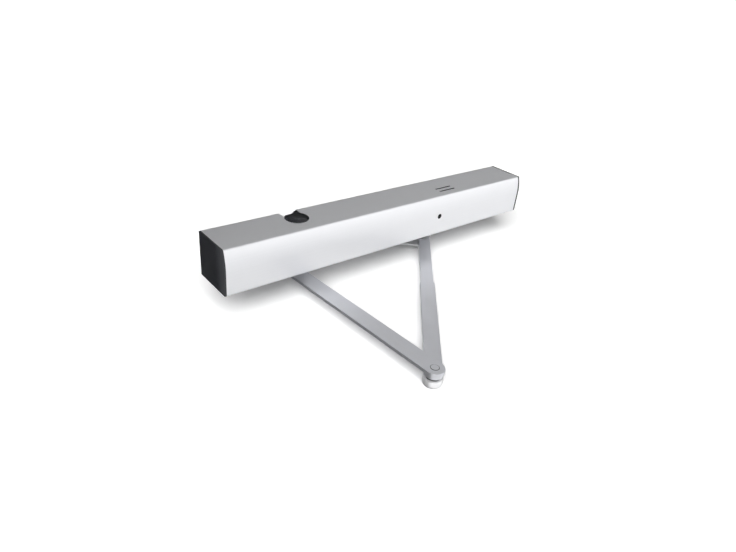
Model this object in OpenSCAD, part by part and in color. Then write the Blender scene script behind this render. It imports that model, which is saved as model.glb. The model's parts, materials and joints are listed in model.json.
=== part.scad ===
/* [Housing] */
// Length of the housing over both end caps
body_l = 690; // [680:5:740]
// Height of the hood
hood_h = 76; // [74:1:84]
// Depth of the hood from the wall to the foremost point of its front
hood_d = 79; // [77:1:90]
// Radius of the curve in the upper part of the front
front_r = 104; // [80:4:200]
// Height of the curved part, measured down from the top
curve_h = 36; // [20:1:45]
// Radius of the long edges at the front
corner_r = 3; // [2.6:0.2:5]
// Wall of the hood
hood_wall = 2; // [1.6:0.1:2.4]
// Thickness that an end cap shows
cap_t = 3; // [2:0.5:5]
// Edge rounding of an end cap
cap_edge = 1.2; // [0.4:0.2:1.8]
// Thickness of the mounting plate
plate_t = 3; // [2:0.5:4]
// Height of the mounting plate
plate_h = 58; // [56:1:62]
// Distance from each end of the housing to the wall holes
hole_inset = 25; // [23:1:35]
// Distance between the wall holes across the housing
hole_span_z = 40; // [36:2:44]
// Radius of a wall hole
hole_r = 3.25; // [2:0.25:3.5]

/* [Openings in the hood] */
// Radius of the round opening over the spindle
port_r = 20.5; // [19.5:0.5:23]
// Width of the slot that lets the hood slide over the spindle
port_slot_w = 33; // [28:1:36]
// Distance from the wall to the rear edge of the spindle cover
cover_back = 12; // [10:0.5:16]
// Length of a vent slot
vent_l = 40; // [20:2:60]
// Width of a vent slot
vent_w = 2.8; // [1.5:0.1:3.5]
// Distance from the housing's middle to the middle of the vent slots
vent_x = 140; // [120:2:160]
// Distance from the wall to the rear vent slot
vent_y = 43; // [38:1:48]
// Distance between the two vent slots
vent_pitch = 12; // [8:1:16]
// Distance from the housing's middle to the status window
window_x = 103; // [98:1:112]
// Radius of the status window
window_r = 3.7; // [2:0.1:5]

/* [Closer body] */
// Distance from the left end of the housing to the spindle
spindle_inset = 156; // [152:1:170]
// Distance from the wall to the spindle
spindle_d = 29; // [28.5:0.5:31]
// Radius of the spindle
spindle_r = 9; // [8.75:0.25:9.5]
// Teeth on the pinion
pinion_teeth = 16; // [16:1:17]
// Module of the rack and the pinion
pinion_module = 1.5; // [1.4:0.05:1.6]
// Height of the pinion
pinion_h = 16; // [10:1:20]
// Radius of the cylinder bore
cyl_r = 19; // [18.6:0.1:20]
// Turn of the spindle from closed to fully open
open_angle = 115; // [90:5:120]
// Height of the closer body
closer_h = 52; // [50:1:54]
// Depth of the closer body
closer_d = 50; // [49:0.5:54]
// Length of the spring chamber while the door is closed
spring_l = 68; // [60:1:74]
// Wire of the closing spring
spring_wire = 4.4; // [3:0.2:5]
// Turns of the closing spring
spring_turns = 7; // [5:0.5:8]
// Width of the spindle bearings
bearing_w = 7; // [5:0.5:8]
// Balls in a bearing
ball_n = 9; // [6:1:10]

/* [Drive unit] */
// Length of the pump block
pump_l = 28; // [26:1:32]
// Thickness of the pump gears
gear_w = 11; // [8:1:13]
// Teeth on a pump gear
gear_teeth = 12; // [12:1:13]
// Module of the pump gears
gear_module = 1.1; // [1:0.05:1.2]
// Radius of the motor
motor_r = 25; // [23.5:0.5:25.5]
// Length of the motor can
motor_l = 76; // [66:1:84]
// Length of the transformer core
core_l = 54; // [48:1:60]
// Gap between the units that share the right half of the housing
unit_gap = 9; // [7:0.5:12]

/* [Arms] */
// Gap between the hood and the main arm
arm_drop = 23; // [18:1:40]
// Length of the main arm between its centres
arm_l = 322; // [280:1:360]
// Width of the main arm
arm_w = 30; // [28:0.5:34]
// Thickness of the main arm
arm_t = 5.5; // [4:0.5:8]
// Side of the square drive in the main arm
drive_sq = 12; // [11:0.25:12.25]
// Length of the forearm between its centres as it is set
fore_l = 425; // [415:5:470]
// Width of the forearm's channel
channel_w = 25.5; // [24:0.5:28]
// Wall of the forearm's channel
channel_wall = 1.4; // [1.2:0.1:2]
// Distance from the elbow to the open end of the channel
channel_end = 245; // [240:5:300]
// Thickness of the sliding bar
bar_t = 6; // [5:0.1:7]
// Travel of the sliding bar each way
slide_travel = 45; // [20:5:45]
// Radius of the elbow foot
foot_r = 14.5; // [12:0.5:16]
// Height of the elbow foot
foot_h = 12.5; // [10:0.5:20]
// Radius of the elbow pin
pin_r = 5; // [4:0.25:5.5]

/* [Door shoe] */
// Length of the shoe
shoe_l = 88; // [80:2:120]
// Distance from the shoe's pivot to the face on the door
shoe_reach = 33; // [28:1:45]
// Height of the shoe's upright plate
shoe_h = 33; // [26:1:36]
// Thickness of the shoe
shoe_t = 4; // [3:0.5:5]
// Distance between the two shoe screws
shoe_span = 60; // [50:2:64]
// Radius of a shoe screw hole
shoe_hole_r = 3.25; // [2:0.25:3.5]

/* [Hidden] */
$fn = 64;
eps = 0.01;

// Clearances
fit_gap = 0.05;
thin_gap = 0.1;
slip_gap = 0.3;
cover_gap = 0.25;

// Screws that repeat
body_screw_r = 2.6;
body_screw_l = 9;
body_hole_l = 13;
body_sink_r = 5;
body_sink_h = 2.4;
unit_screw_r = 2;
unit_head_r = 3.6;
unit_head_h = 2.4;
hood_screw_r = 2;
hood_screw_l = 6;
hood_head_r = 3.8;
hood_head_h = 2.2;

// Levels and places of the housing
z_top = hood_h / 2;
z_low = -hood_h / 2;
hood_l = body_l - 2 * cap_t;
hood_end = hood_l / 2;
inner_z = z_top - hood_wall;
curve_z = z_top - curve_h;
hole_x = body_l / 2 - hole_inset;
spindle_x = spindle_inset - body_l / 2;
spindle_y = -spindle_d;
window_z = -1;

// Rims of the end caps and rails of the hood
rim_l = 8;
rim_t = 2;
rib_t = 1.5;
rib_h = 2.5;
ear_inset = 52;
ear_x = hood_end - ear_inset;
ear_w = 24;
ear_d = 16;
ear_t = 2;
flange_x = hood_end - 6;
flange_t = 3;
flange_d = 18;
lug_t = 2;
rail_gap = 0.4;
hood_screw_y = -(plate_t + ear_d) / 2 - 1;

// Spindle cover: its rim, its clip under the hood and the tongue that runs back in the slot
cover_t = 1.7;
cover_rim_t = 1.4;
cover_rim_h = 0.8;
cover_clip_w = 1.2;
tongue_end = 4.5;
tongue_x0 = -2;
tongue_x1 = 7.5;
tongue_x2 = 9.5;
tongue_lip = 1.8;

// Rack, pinion and piston
pitch_r = pinion_teeth * pinion_module / 2;
pinion_tip = pitch_r + pinion_module;
pinion_root = pitch_r - 1.25 * pinion_module;
pinion_pa = 20;
rack_tip = pitch_r - 0.9 * pinion_module;
rack_root = pitch_r + 1.25 * pinion_module;
rack_pitch = PI * pinion_module;
backlash = 0.12;
travel = open_angle * PI / 180 * pitch_r;
window_l = 2 * pinion_tip + travel + 2;
window_x0 = spindle_x - pinion_tip - 1;
piston_head = 18;
piston_tail = 20;
piston_x0 = window_x0 - piston_head;
piston_x1 = window_x0 + window_l + piston_tail;
ring_w = 2.4;
ring_depth = 1.6;
ring_inset = 5;

// Closer body and what closes it
seat_t = 3;
seat_x = piston_x0 - spring_l - seat_t;
plug_l = 18;
closer_x0 = seat_x - plug_l;
nose_l = 12;
nose_r = 10;
oil_r = 2;
end_flange = 12;
body_corner = 5;
cast_rib_w = 3;
cast_rib_h = 2;
cast_rib_n = 3;
closer_x1 = piston_x1 + slip_gap + nose_l + 16;
closer_y = -plate_t - closer_d / 2;
closer_z = closer_h / 2;
spring_mid_r = cyl_r - spring_wire / 2 - 1.2;
spigot_r = spring_mid_r - spring_wire / 2 - 0.8;
seal_w = 2.6;
seal_t = 1.8;
seal_play = 0.02;
spring_seal_x = seat_x - 8;
pump_seal_x = closer_x1 - 9;
plug_lip = 3;
plug_lip_r = cyl_r - 4;
spanner_hole_r = 1.8;
spanner_hole_at = 10;
adjuster_r = 4;
adjuster_head_r = 6.5;
adjuster_head_l = 6;
valve_r = 3.6;
valve_l = 9;
valve_n = 3;
valve_pitch = 10;
valve_inset = 34;

// Spindle bearings
race_in = spindle_r + 1.8;
race_out = spindle_r + 5.2;
bearing_r = spindle_r + 7;
ball_r = (race_out - race_in) / 2 + 0.5;
ball_ring_r = (race_out + race_in) / 2;
bearing_z = cyl_r + 2.3;
boss_r = bearing_r + 4.5;
boss_z = closer_z + 5;
seal_z = bearing_z + bearing_w + thin_gap;
shaft_seal_h = boss_z - seal_z;
bearing_cover_t = 2.4;
cover_dimple_r = 1.4;
well_r = pinion_tip + 0.4;
spindle_top = boss_z + bearing_cover_t - 0.3;

// Drive unit along the same axis as the cylinder
pump_x0 = closer_x1;
pump_x1 = pump_x0 + pump_l;
pump_cover_t = 6;
pump_corner = 3;
pump_bolt_at = 21;
pump_bolt_l = 8;
pump_head_r = 3.4;
motor_x0 = pump_x1 + pump_cover_t;
motor_x1 = motor_x0 + motor_l;
bell_t = 6;
bell_nub_r = 9;
bell_nub = 3;
can_t = 1.5;
gear_pitch_r = gear_teeth * gear_module / 2;
gear_tip = gear_pitch_r + gear_module;
gear_root = gear_pitch_r - 1.25 * gear_module;
gear_pa = 25;
gear_x1 = pump_x1 - fit_gap;
shaft_r = 3;
shaft_end = pump_x1 - gear_w - 8;
bush_r = 6;
magnet_t = 3;
magnet_l = motor_l - 30;
magnet_x0 = motor_x0 + 12;
rotor_r = motor_r - can_t - magnet_t - 0.7;
slot_n = 10;
commutator_r = 8;
commutator_l = 8;
brush_w = 4;

// Control case, transformer, cable entry and mains terminals share the right half of the housing
bay_x0 = motor_x1 + bell_t + bell_nub;
bay_x1 = hole_x - 8;
core_h = 46;
core_t = 22;
core_y = -plate_t - 24;
limb = core_l / 3;
window_gap = 0.6;
strap_t = 1.5;
strap_w = 16;
foot_l = 10;
core_unit_l = core_l + 2 * (strap_t + foot_l);
entry_w = 22;
entry_h = 26;
entry_corner = 4;
mains_l = 24;
mains_h = 34;
mains_d = 18;
mains_base = 6;
case_l = bay_x1 - bay_x0 - core_unit_l - entry_w - mains_l - 4 * unit_gap;
case_x0 = bay_x0 + unit_gap;
core_x = case_x0 + case_l + unit_gap + core_unit_l / 2;
entry_x0 = core_x + core_unit_l / 2 + unit_gap;
mains_x0 = entry_x0 + entry_w + unit_gap;

// Control case and what is on its board
case_wall = 2;
case_z = plate_h / 2 - 2;
case_d = 40;
case_mouth_d = 12;
case_mouth_h = 16;
post_r = 3;
post_inset = 8;
board_t = 1.6;
board_d = 34;
board_y = -plate_t - board_d;
board_edge = 3;
board_front = board_y - board_t;
board_x0 = case_x0 + board_edge;
board_x1 = case_x0 + case_l - board_edge;
board_z = case_z - board_edge;
row_gap = 8;
pole_pitch = 5;
row_w = 9;
row_h = 11;
pole_n = floor((board_x1 - board_x0 - 3 * row_gap) / 2 / pole_pitch);
relay_l = 19;
relay_h = 15;
relay_w = 15.5;
relay_pitch = 24;
relay_n = max(1, floor((board_x1 - board_x0 - 60) / relay_pitch));
relay_x0 = board_x0 + 0.12 * (board_x1 - board_x0);
capacitor_h = 18;
capacitors = [[26, 10, 7], [11, 9, 5], [12, -4, 4]];

// Levels of the arms
arm_z1 = z_low - arm_drop;
arm_z0 = arm_z1 - arm_t;
channel_z1 = arm_z0 - 0.5;
bar_play = 0.8;
channel_h = bar_t + 2 * channel_wall + bar_play;
channel_z0 = channel_z1 - channel_h;
bar_z1 = channel_z1 - channel_wall - slip_gap / 2;
bar_z0 = bar_z1 - bar_t;
foot_z1 = bar_z0 - 2;
foot_z0 = foot_z1 - foot_h;
ear_z1 = bar_z0 - slip_gap;
ear_z0 = ear_z1 - shoe_t;

// Pieces that join the spindle and the main arm
square_l = 14;
tap_r = 4;
tap_l = 12;
stub_r = 11.5;
stub_flange_r = 13;
stub_flange_t = 3;
washer_r = 12;
washer_t = 1.6;

// Directions of the arms in plan while the door is closed
arm_angle = -86.75;
fore_angle = 47.6;
elbow_x = spindle_x + arm_l * cos(arm_angle);
elbow_y = spindle_y + arm_l * sin(arm_angle);
bar_w = channel_w - 2 * channel_wall - 2 * fit_gap;
eye_r = 14;
eye_t = 5;
eye_z0 = channel_z1 - eye_t;
eye_l = 70;
tang_x = 16;
channel_start = 24;
lip_w = 5.5;
bar_hold = 70;
bar_back = channel_end - slide_travel - bar_hold;
clamp_at = 165;
clamp_l = 26;
clamp_t = 2.4;
clamp_screw_r = 2.5;
clamp_tap = bar_t - 1.4;
bush_t = 1.5;
bush_flange_r = 7.5;
elbow_washer_r = 11;
press_play = 0.02;
pin_depth = 8;
pin_head_r = pin_r + 1;
rivet_r = 2.5;
rivet_head_r = 3.8;
rivet_z1 = channel_z1 - 0.8;
rivet_inset = 14;
rivet_pitch = 20;
shoe_pin_r = 4;
shoe_side = 15;
ear_side = 11.5;
ear_front = 20;
ear_corner = 6;

echo("shoe pivot", elbow_x + fore_l * cos(fore_angle), elbow_y + fore_l * sin(fore_angle));
echo("elbow", elbow_x, elbow_y, "piston travel", travel);
echo("closer", closer_x0, closer_x1, "piston", piston_x0, piston_x1);
echo("pump", pump_x0, pump_x1, "motor", motor_x0, motor_x1, "case", case_x0, case_x0 + case_l);
echo("core", core_x, "entry", entry_x0, "mains", mains_x0, mains_x0 + mains_l, "flange", flange_x);
echo("levels", arm_z1, arm_z0, channel_z0, bar_z1, bar_z0, foot_z1, foot_z0, ear_z1, ear_z0);

// Cross-section of the housing, drawn inset from its outside, with its back at the given place
module section(inset, back) {
    r = corner_r - inset;
    arc_y = -hood_d + front_r;
    fillet_z = z_top - corner_r;
    fillet_y = arc_y - sqrt(pow(front_r - corner_r, 2) - pow(fillet_z - curve_z, 2));
    touch_z = curve_z + front_r * (fillet_z - curve_z) / (front_r - corner_r);
    translate([-hood_d + inset, z_low + corner_r])
        square([back + hood_d - inset, curve_z - z_low - corner_r]);
    translate([-hood_d + corner_r, z_low + inset])
        square([back + hood_d - corner_r, corner_r - inset + eps]);
    translate([-hood_d + corner_r, z_low + corner_r]) circle(max(r, 0.2), $fn = 32);
    intersection() {
        translate([arc_y, curve_z]) circle(front_r - inset, $fn = 200);
        translate([-hood_d, curve_z - eps]) square([back + hood_d, touch_z - curve_z + eps]);
    }
    translate([fillet_y, fillet_z]) circle(max(r, 0.2), $fn = 32);
    translate([fillet_y, fillet_z]) square([back - fillet_y, corner_r - inset]);
}

// Extrudes a drawing of the YZ plane along X
module along_x(x0, x1) {
    translate([x0, 0, 0]) rotate([90, 0, 90]) linear_extrude(x1 - x0) children();
}

// Rectangle with round corners about its middle
module soft_rect(w, h, r) {
    square([w, h - 2 * r], center = true);
    square([w - 2 * r, h], center = true);
    for (sx = [-1, 1], sy = [-1, 1]) {
        translate([sx * (w / 2 - r), sy * (h / 2 - r)]) circle(r, $fn = 32);
    }
}

// Slot with round ends along X
module round_slot(l, w) {
    square([l - w, w], center = true);
    for (s = [-1, 1]) {
        translate([s * (l - w) / 2, 0]) circle(w / 2, $fn = 24);
    }
}

// Cylinder along X from one place to another
module rod_x(r, x0, x1) {
    translate([x0, 0, 0]) rotate([0, 90, 0]) cylinder(r = r, h = x1 - x0);
}

// Cylinder along Y from one place to another
module rod_y(r, y0, y1) {
    translate([0, y0, 0]) rotate([-90, 0, 0]) cylinder(r = r, h = y1 - y0);
}

// Ring along Z
module ring(r_out, r_in, h) {
    difference() {
        cylinder(r = r_out, h = h);
        translate([0, 0, -1]) cylinder(r = r_in, h = h + 2);
    }
}

// Ring along X
module ring_x(r_out, r_in, x0, x1) {
    translate([x0, 0, 0]) rotate([0, 90, 0]) ring(r_out, r_in, x1 - x0);
}

// Cap screw that points along -Z, its head on the plane Z = 0
module cap_screw(r, l, head_r, head_h) {
    translate([0, 0, -l]) cylinder(r = r, h = l + eps);
    difference() {
        cylinder(r = head_r, h = head_h);
        translate([0, 0, head_h * 0.4]) cylinder(r = head_r * 0.55, h = head_h, $fn = 6);
    }
}

function inv_angle(a) = tan(a) * 180 / PI - a;
function half_tooth(r, n, m, pa) =
    90 / n - backlash / 2 / (n * m / 2) * 90 / PI + inv_angle(pa)
    - inv_angle(acos(min(1, n * m / 2 * cos(pa) / r)));

// Flank radii of a gear tooth from its root to its tip
function flank_radii(n, m, pa, root, tip) =
    let (base = n * m / 2 * cos(pa), low = max(base, root), steps = 6)
    concat([root], [for (i = [0:steps]) low + (tip - low) * i / steps]);

// Outline of an involute gear with one tooth at the top
function gear_points(n, m, pa, root, tip) =
    let (radii = flank_radii(n, m, pa, root, tip), count = len(radii))
    [for (k = [0:n - 1], side = [-1, 1], i = [0:count - 1])
        let (r = side < 0 ? radii[i] : radii[count - 1 - i],
            a = 90 - k * 360 / n + -side * half_tooth(max(r, n * m / 2 * cos(pa)), n, m, pa))
        [r * cos(a), r * sin(a)]];

// Opening in the top or bottom of the hood round the spindle, run out through the rear edge
module port(r, w) {
    translate([spindle_x, spindle_y]) circle(r);
    translate([spindle_x - w / 2, spindle_y]) square([w, spindle_d + 5]);
}

module plate_screw_holes() {
    for (p = body_screw_places) {
        translate([p[0], 0, p[1]]) rod_y(body_screw_r, -plate_t - 1, 1);
        translate([p[0], 0, p[1]]) rotate([90, 0, 0]) translate([0, 0, -eps])
            cylinder(r1 = body_sink_r, r2 = body_screw_r, h = body_sink_h);
    }
    for (p = unit_screw_places) {
        translate([p[0], 0, p[1]]) rod_y(unit_screw_r, -plate_t - 1, 1);
    }
}

body_screw_places = [
    for (x = [closer_x0 + 15, closer_x1 - 15, pump_x0 + pump_l / 2], z = [-20, 20]) [x, z]
];
case_screw_x = [case_x0 + 12, case_x0 + case_l - 12];
strap_screw_x = [core_x - core_l / 2 - strap_t - foot_l / 2, core_x + core_l / 2 + strap_t + foot_l / 2];
mains_screw_z = [-mains_h / 2 + 4, mains_h / 2 - 4];
unit_screw_places = concat(
    [for (x = case_screw_x) [x, 0]],
    [for (x = strap_screw_x) [x, 0]],
    [for (z = mains_screw_z) [mains_x0 + mains_l / 2, z]]
);

// Pressed plate that is screwed to the wall and carries everything
module mounting_plate() {
    color([0.72, 0.73, 0.74]) difference() {
        union() {
            along_x(-flange_x, flange_x) translate([-plate_t / 2, 0])
                square([plate_t, plate_h], center = true);
            for (s = [-1, 1]) {
                translate([s * (flange_x - flange_t / 2), 0, 0])
                    along_x(-flange_t / 2, flange_t / 2)
                    translate([-flange_d / 2, 0]) square([flange_d, plate_h], center = true);
                for (t = [-1, 1]) {
                    translate([s * ear_x - ear_w / 2, -plate_t, min(0, t * (inner_z - thin_gap))])
                        cube([ear_w, plate_t, inner_z - thin_gap]);
                    translate([s * ear_x - ear_w / 2, -ear_d, t * (inner_z - thin_gap - ear_t / 2)])
                        translate([0, 0, -ear_t / 2]) cube([ear_w, ear_d, ear_t]);
                }
            }
        }
        for (x = [-hole_x, hole_x], z = [-hole_span_z / 2, hole_span_z / 2]) {
            translate([x, 0, z]) rod_y(hole_r, -plate_t - 1, 1);
        }
        for (s = [-1, 1]) {
            translate([s * ear_x, hood_screw_y, z_low - 1]) cylinder(r = hood_screw_r, h = 8);
        }
        translate([entry_x0 + entry_w / 2, 1, 0]) rotate([90, 0, 0]) linear_extrude(plate_t + 2)
            soft_rect(entry_w, entry_h, entry_corner);
        plate_screw_holes();
    }
}

module hood() {
    color([0.80, 0.81, 0.82]) difference() {
        union() {
            difference() {
                along_x(-hood_end, hood_end) section(0, 0);
                along_x(-hood_end - 1, hood_end + 1) section(hood_wall, 1);
            }
            for (t = [-1, 1]) {
                along_x(-hood_end, hood_end)
                    translate([-ear_d - thin_gap - rib_t, t > 0 ? inner_z - rib_h : -inner_z - eps])
                    square([rib_t, rib_h + eps]);
            }
        }
        translate([0, 0, inner_z - rib_h - 1]) linear_extrude(rib_h + hood_wall + 3)
            port(port_r, port_slot_w);
        translate([0, 0, z_low - 1]) linear_extrude(rib_h + hood_wall + 3) port(port_r, port_slot_w);
        for (k = [0, 1]) {
            translate([vent_x, -vent_y - k * vent_pitch, inner_z - 1]) linear_extrude(hood_wall + 2)
                round_slot(vent_l, vent_w);
        }
        translate([window_x, 0, window_z]) rod_y(window_r + fit_gap, -hood_d - 1, -hood_d + hood_wall + 3);
        for (s = [-1, 1]) {
            translate([s * ear_x, hood_screw_y, z_low - 1])
                cylinder(r = hood_screw_r + slip_gap, h = hood_wall + 2);
        }
    }
}

// End cap on the +X side, drawn at its place
module end_cap() {
    steps = 4;
    hull() {
        for (i = [0:steps]) {
            a = 90 * i / steps;
            along_x(hood_end, hood_end + cap_t - cap_edge * (1 - sin(a)))
                section(cap_edge * (1 - cos(a)), 0);
        }
    }
    difference() {
        along_x(hood_end - rim_l, hood_end + eps) intersection() {
            section(hood_wall + thin_gap, 0);
            translate([-hood_d, z_low]) square([hood_d - plate_t - 1, hood_h]);
        }
        along_x(hood_end - rim_l - 1, hood_end) section(hood_wall + thin_gap + rim_t, 1);
        for (t = [-1, 1]) {
            translate([
                hood_end - rim_l - 1, -ear_d - thin_gap - rib_t - rail_gap,
                t > 0 ? inner_z - rib_h - rail_gap : -inner_z - 1
            ])
                cube([rim_l + 1, rib_t + 2 * rail_gap, rib_h + rail_gap + 1]);
        }
    }
    for (t = [-1, 1]) {
        translate([flange_x - flange_t - 1, -ear_d, t * (plate_h / 2 + thin_gap + lug_t / 2) - lug_t / 2])
            cube([hood_end - flange_x + flange_t + 1 + eps, ear_d - plate_t - 2, lug_t]);
    }
}

module right_end_cap() {
    color([0.13, 0.13, 0.15]) end_cap();
}

module left_end_cap() {
    color([0.13, 0.13, 0.15]) mirror([1, 0, 0]) end_cap();
}

// Round cover that clips into the top opening and leaves the rear of the slot free but for a tongue
module spindle_cover() {
    r = port_r - cover_gap;
    rear = spindle_d - cover_back;
    tip = spindle_d - tongue_end;
    side = port_slot_w / 2 - cover_gap;
    color([0.24, 0.24, 0.26]) translate([spindle_x, spindle_y, 0]) {
        intersection() {
            union() {
                translate([0, 0, inner_z]) cylinder(r = r, h = cover_t);
                translate([0, 0, inner_z]) ring(r, r - cover_rim_t, cover_t + cover_rim_h);
                translate([0, 0, inner_z - thin_gap - cover_rim_t])
                    ring(port_r + cover_clip_w, port_r - 3, cover_rim_t);
                translate([0, 0, inner_z - thin_gap - cover_rim_t])
                    ring(r, port_r - 3, cover_rim_t + 2 * thin_gap);
                translate([-r, rear - cover_rim_t, inner_z])
                    cube([2 * r, cover_rim_t, cover_t + cover_rim_h]);
            }
            translate([-2 * port_r, -2 * port_r, 0]) cube([4 * port_r, 2 * port_r + rear, z_top + 5]);
            union() {
                cylinder(r = r, h = z_top + 5);
                translate([-2 * port_r, -2 * port_r, 0]) cube([4 * port_r, 2 * port_r, z_top + 5]);
            }
        }
        translate([0, 0, inner_z]) linear_extrude(cover_t) polygon([
            [tongue_x0, rear - cover_rim_t], [tongue_x1, tip - tongue_lip], [tongue_x2, tip],
            [side, tip], [side, rear - 3], [tongue_x1, rear - 5]
        ]);
        translate([tongue_x2, tip - tongue_lip, inner_z])
            cube([side - tongue_x2, tongue_lip, cover_t + cover_rim_h]);
    }
}

module status_window() {
    color([0.08, 0.08, 0.09]) translate([window_x, 0, window_z]) {
        rod_y(window_r, -hood_d - 0.3, -hood_d + hood_wall + 0.5);
        rod_y(window_r + 1, -hood_d + hood_wall + thin_gap, -hood_d + hood_wall + 1.2);
    }
}

module hood_screws() {
    color([0.6, 0.6, 0.62]) for (s = [-1, 1]) {
        translate([s * ear_x, hood_screw_y, z_low]) rotate([180, 0, 0])
            cap_screw(hood_screw_r - fit_gap, hood_screw_l, hood_head_r, hood_head_h);
    }
}

// Cast body with its cylinder bore along X and the spindle bore along Z
module closer_body() {
    color([0.62, 0.63, 0.65]) difference() {
        union() {
            along_x(closer_x0, closer_x1) translate([closer_y, 0])
                soft_rect(closer_d, closer_h, body_corner);
            for (x = cast_rib_places) {
                along_x(x, x + cast_rib_w) translate([closer_y, 0])
                    soft_rect(closer_d - 2 * body_corner, closer_h + 2 * cast_rib_h, 1);
            }
            for (x = [closer_x0, closer_x1 - end_flange]) {
                along_x(x, x + end_flange) translate([closer_y, 0]) soft_rect(closer_d, closer_h, 2);
            }
            translate([spindle_x, spindle_y, -boss_z]) cylinder(r = boss_r, h = 2 * boss_z);
        }
        translate([0, spindle_y, 0]) rod_x(cyl_r, closer_x0 - 1, closer_x1 + 1);
        translate([spindle_x, spindle_y, -boss_z - 1]) cylinder(r = well_r, h = 2 * boss_z + 2);
        for (s = [-1, 1]) {
            translate([spindle_x, spindle_y, s > 0 ? bearing_z - fit_gap : -boss_z - 1])
                cylinder(r = bearing_r + fit_gap / 2, h = boss_z - bearing_z + 1 + fit_gap);
        }
        for (p = body_screw_places) {
            translate([p[0], 0, p[1]]) rod_y(body_screw_r, -plate_t - body_hole_l, 0);
        }
        for (x = valve_places) {
            translate([x, -plate_t - closer_d, -cyl_r]) rod_y(valve_r + fit_gap, -1, valve_l);
        }
    }
}

valve_places = [for (k = [0:valve_n - 1]) closer_x1 - valve_inset + k * valve_pitch];
cast_rib_x0 = closer_x0 + end_flange;
cast_rib_pitch = (spindle_x - boss_r - cast_rib_x0) / (cast_rib_n + 1);
cast_rib_places = [for (k = [1:cast_rib_n]) cast_rib_x0 + k * cast_rib_pitch - cast_rib_w / 2];

module speed_valves() {
    color([0.75, 0.65, 0.35]) for (x = valve_places) {
        translate([x, -plate_t - closer_d, -cyl_r]) difference() {
            rod_y(valve_r, -0.8, valve_l - thin_gap);
            rotate([90, 0, 0]) translate([0, 0, -2]) cylinder(r = valve_r * 0.47, h = 4, $fn = 6);
        }
    }
}

module body_screws() {
    color([0.6, 0.6, 0.62]) for (p = body_screw_places) {
        translate([p[0], 0, p[1]]) {
            rod_y(body_screw_r - fit_gap, -plate_t - body_screw_l, thin_gap - body_sink_h);
            difference() {
                rotate([90, 0, 0]) translate([0, 0, thin_gap]) cylinder(
                    r1 = body_sink_r - slip_gap, r2 = body_screw_r - thin_gap, h = body_sink_h - thin_gap
                );
                rotate([90, 0, 0]) translate([0, 0, -1]) cylinder(r = body_screw_r * 0.6, h = 2.6, $fn = 6);
            }
        }
    }
}

module spring_end_plug() {
    color([0.5, 0.5, 0.53]) translate([0, spindle_y, 0]) difference() {
        union() {
            rod_x(cyl_r - fit_gap, closer_x0, seat_x - thin_gap);
            rod_x(plug_lip_r, closer_x0 - plug_lip, closer_x0 + eps);
        }
        ring_x(cyl_r + 1, cyl_r - seal_t, spring_seal_x, spring_seal_x + seal_w);
        rod_x(adjuster_r + fit_gap, closer_x0 - plug_lip - 1, seat_x + 1);
        for (s = [-1, 1]) {
            translate([closer_x0 - plug_lip - 1, s * spanner_hole_at, 0]) rotate([0, 90, 0])
                cylinder(r = spanner_hole_r, h = plug_lip + 1, $fn = 24);
        }
    }
}

module spring_adjuster() {
    color([0.6, 0.6, 0.62]) translate([0, spindle_y, 0]) {
        rod_x(adjuster_r, closer_x0 - plug_lip - 1, seat_x - fit_gap);
        translate([closer_x0 - plug_lip - adjuster_head_l - fit_gap, 0, 0]) rotate([0, 90, 0])
            cylinder(r = adjuster_head_r, h = adjuster_head_l, $fn = 6);
    }
}

module spring_seat() {
    color([0.5, 0.5, 0.53]) translate([0, spindle_y, 0]) {
        rod_x(cyl_r - 0.6, seat_x, seat_x + seat_t - fit_gap);
        rod_x(spigot_r, seat_x, seat_x + seat_t + 6);
    }
}

module pump_end_plug() {
    color([0.5, 0.5, 0.53]) translate([0, spindle_y, 0]) difference() {
        union() {
            rod_x(cyl_r - fit_gap, piston_x1 + slip_gap + nose_l, closer_x1);
            rod_x(nose_r, piston_x1 + slip_gap, closer_x1 - 4);
        }
        ring_x(cyl_r + 1, cyl_r - seal_t, pump_seal_x, pump_seal_x + seal_w);
        rod_x(oil_r, piston_x1 - 1, closer_x1 + 1);
    }
}

module plug_seals() {
    color([0.1, 0.1, 0.1]) translate([0, spindle_y, 0]) for (x = [spring_seal_x, pump_seal_x]) {
        ring_x(cyl_r - seal_play, cyl_r - seal_t + seal_play, x + fit_gap, x + seal_w - fit_gap);
    }
}

// Places one of the two spindle bearings, its lower face on the plane Z = 0
module at_bearings() {
    for (s = [-1, 1]) {
        translate([spindle_x, spindle_y, s > 0 ? bearing_z : -bearing_z - bearing_w]) children();
    }
}

module race_groove() {
    translate([0, 0, bearing_w / 2]) rotate_extrude() translate([ball_ring_r, 0]) circle(ball_r + fit_gap);
}

module bearing_outer_rings() {
    color([0.7, 0.7, 0.72]) at_bearings() difference() {
        ring(bearing_r, race_out, bearing_w);
        race_groove();
    }
}

module bearing_inner_rings() {
    color([0.7, 0.7, 0.72]) at_bearings() difference() {
        ring(race_in, spindle_r + fit_gap / 2, bearing_w);
        race_groove();
    }
}

module bearing_balls() {
    color([0.8, 0.8, 0.82]) at_bearings() for (k = [0:ball_n - 1]) {
        rotate(k * 360 / ball_n) translate([ball_ring_r, 0, bearing_w / 2]) sphere(ball_r, $fn = 32);
    }
}

module shaft_seals() {
    color([0.1, 0.1, 0.1]) for (s = [-1, 1]) {
        translate([spindle_x, spindle_y, s > 0 ? seal_z : -seal_z - shaft_seal_h])
            ring(bearing_r - fit_gap, spindle_r + fit_gap, shaft_seal_h);
    }
}

module bearing_covers() {
    color([0.5, 0.5, 0.53]) for (s = [-1, 1]) {
        translate([spindle_x, spindle_y, s > 0 ? boss_z : -boss_z - bearing_cover_t]) difference() {
            ring(boss_r - 0.5, spindle_r + 0.4, bearing_cover_t);
            for (k = [0:3]) {
                rotate(45 + k * 90) translate([boss_r - 3, 0, s > 0 ? 1 : -1])
                    cylinder(r = cover_dimple_r, h = bearing_cover_t, $fn = 24);
            }
        }
    }
}

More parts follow.
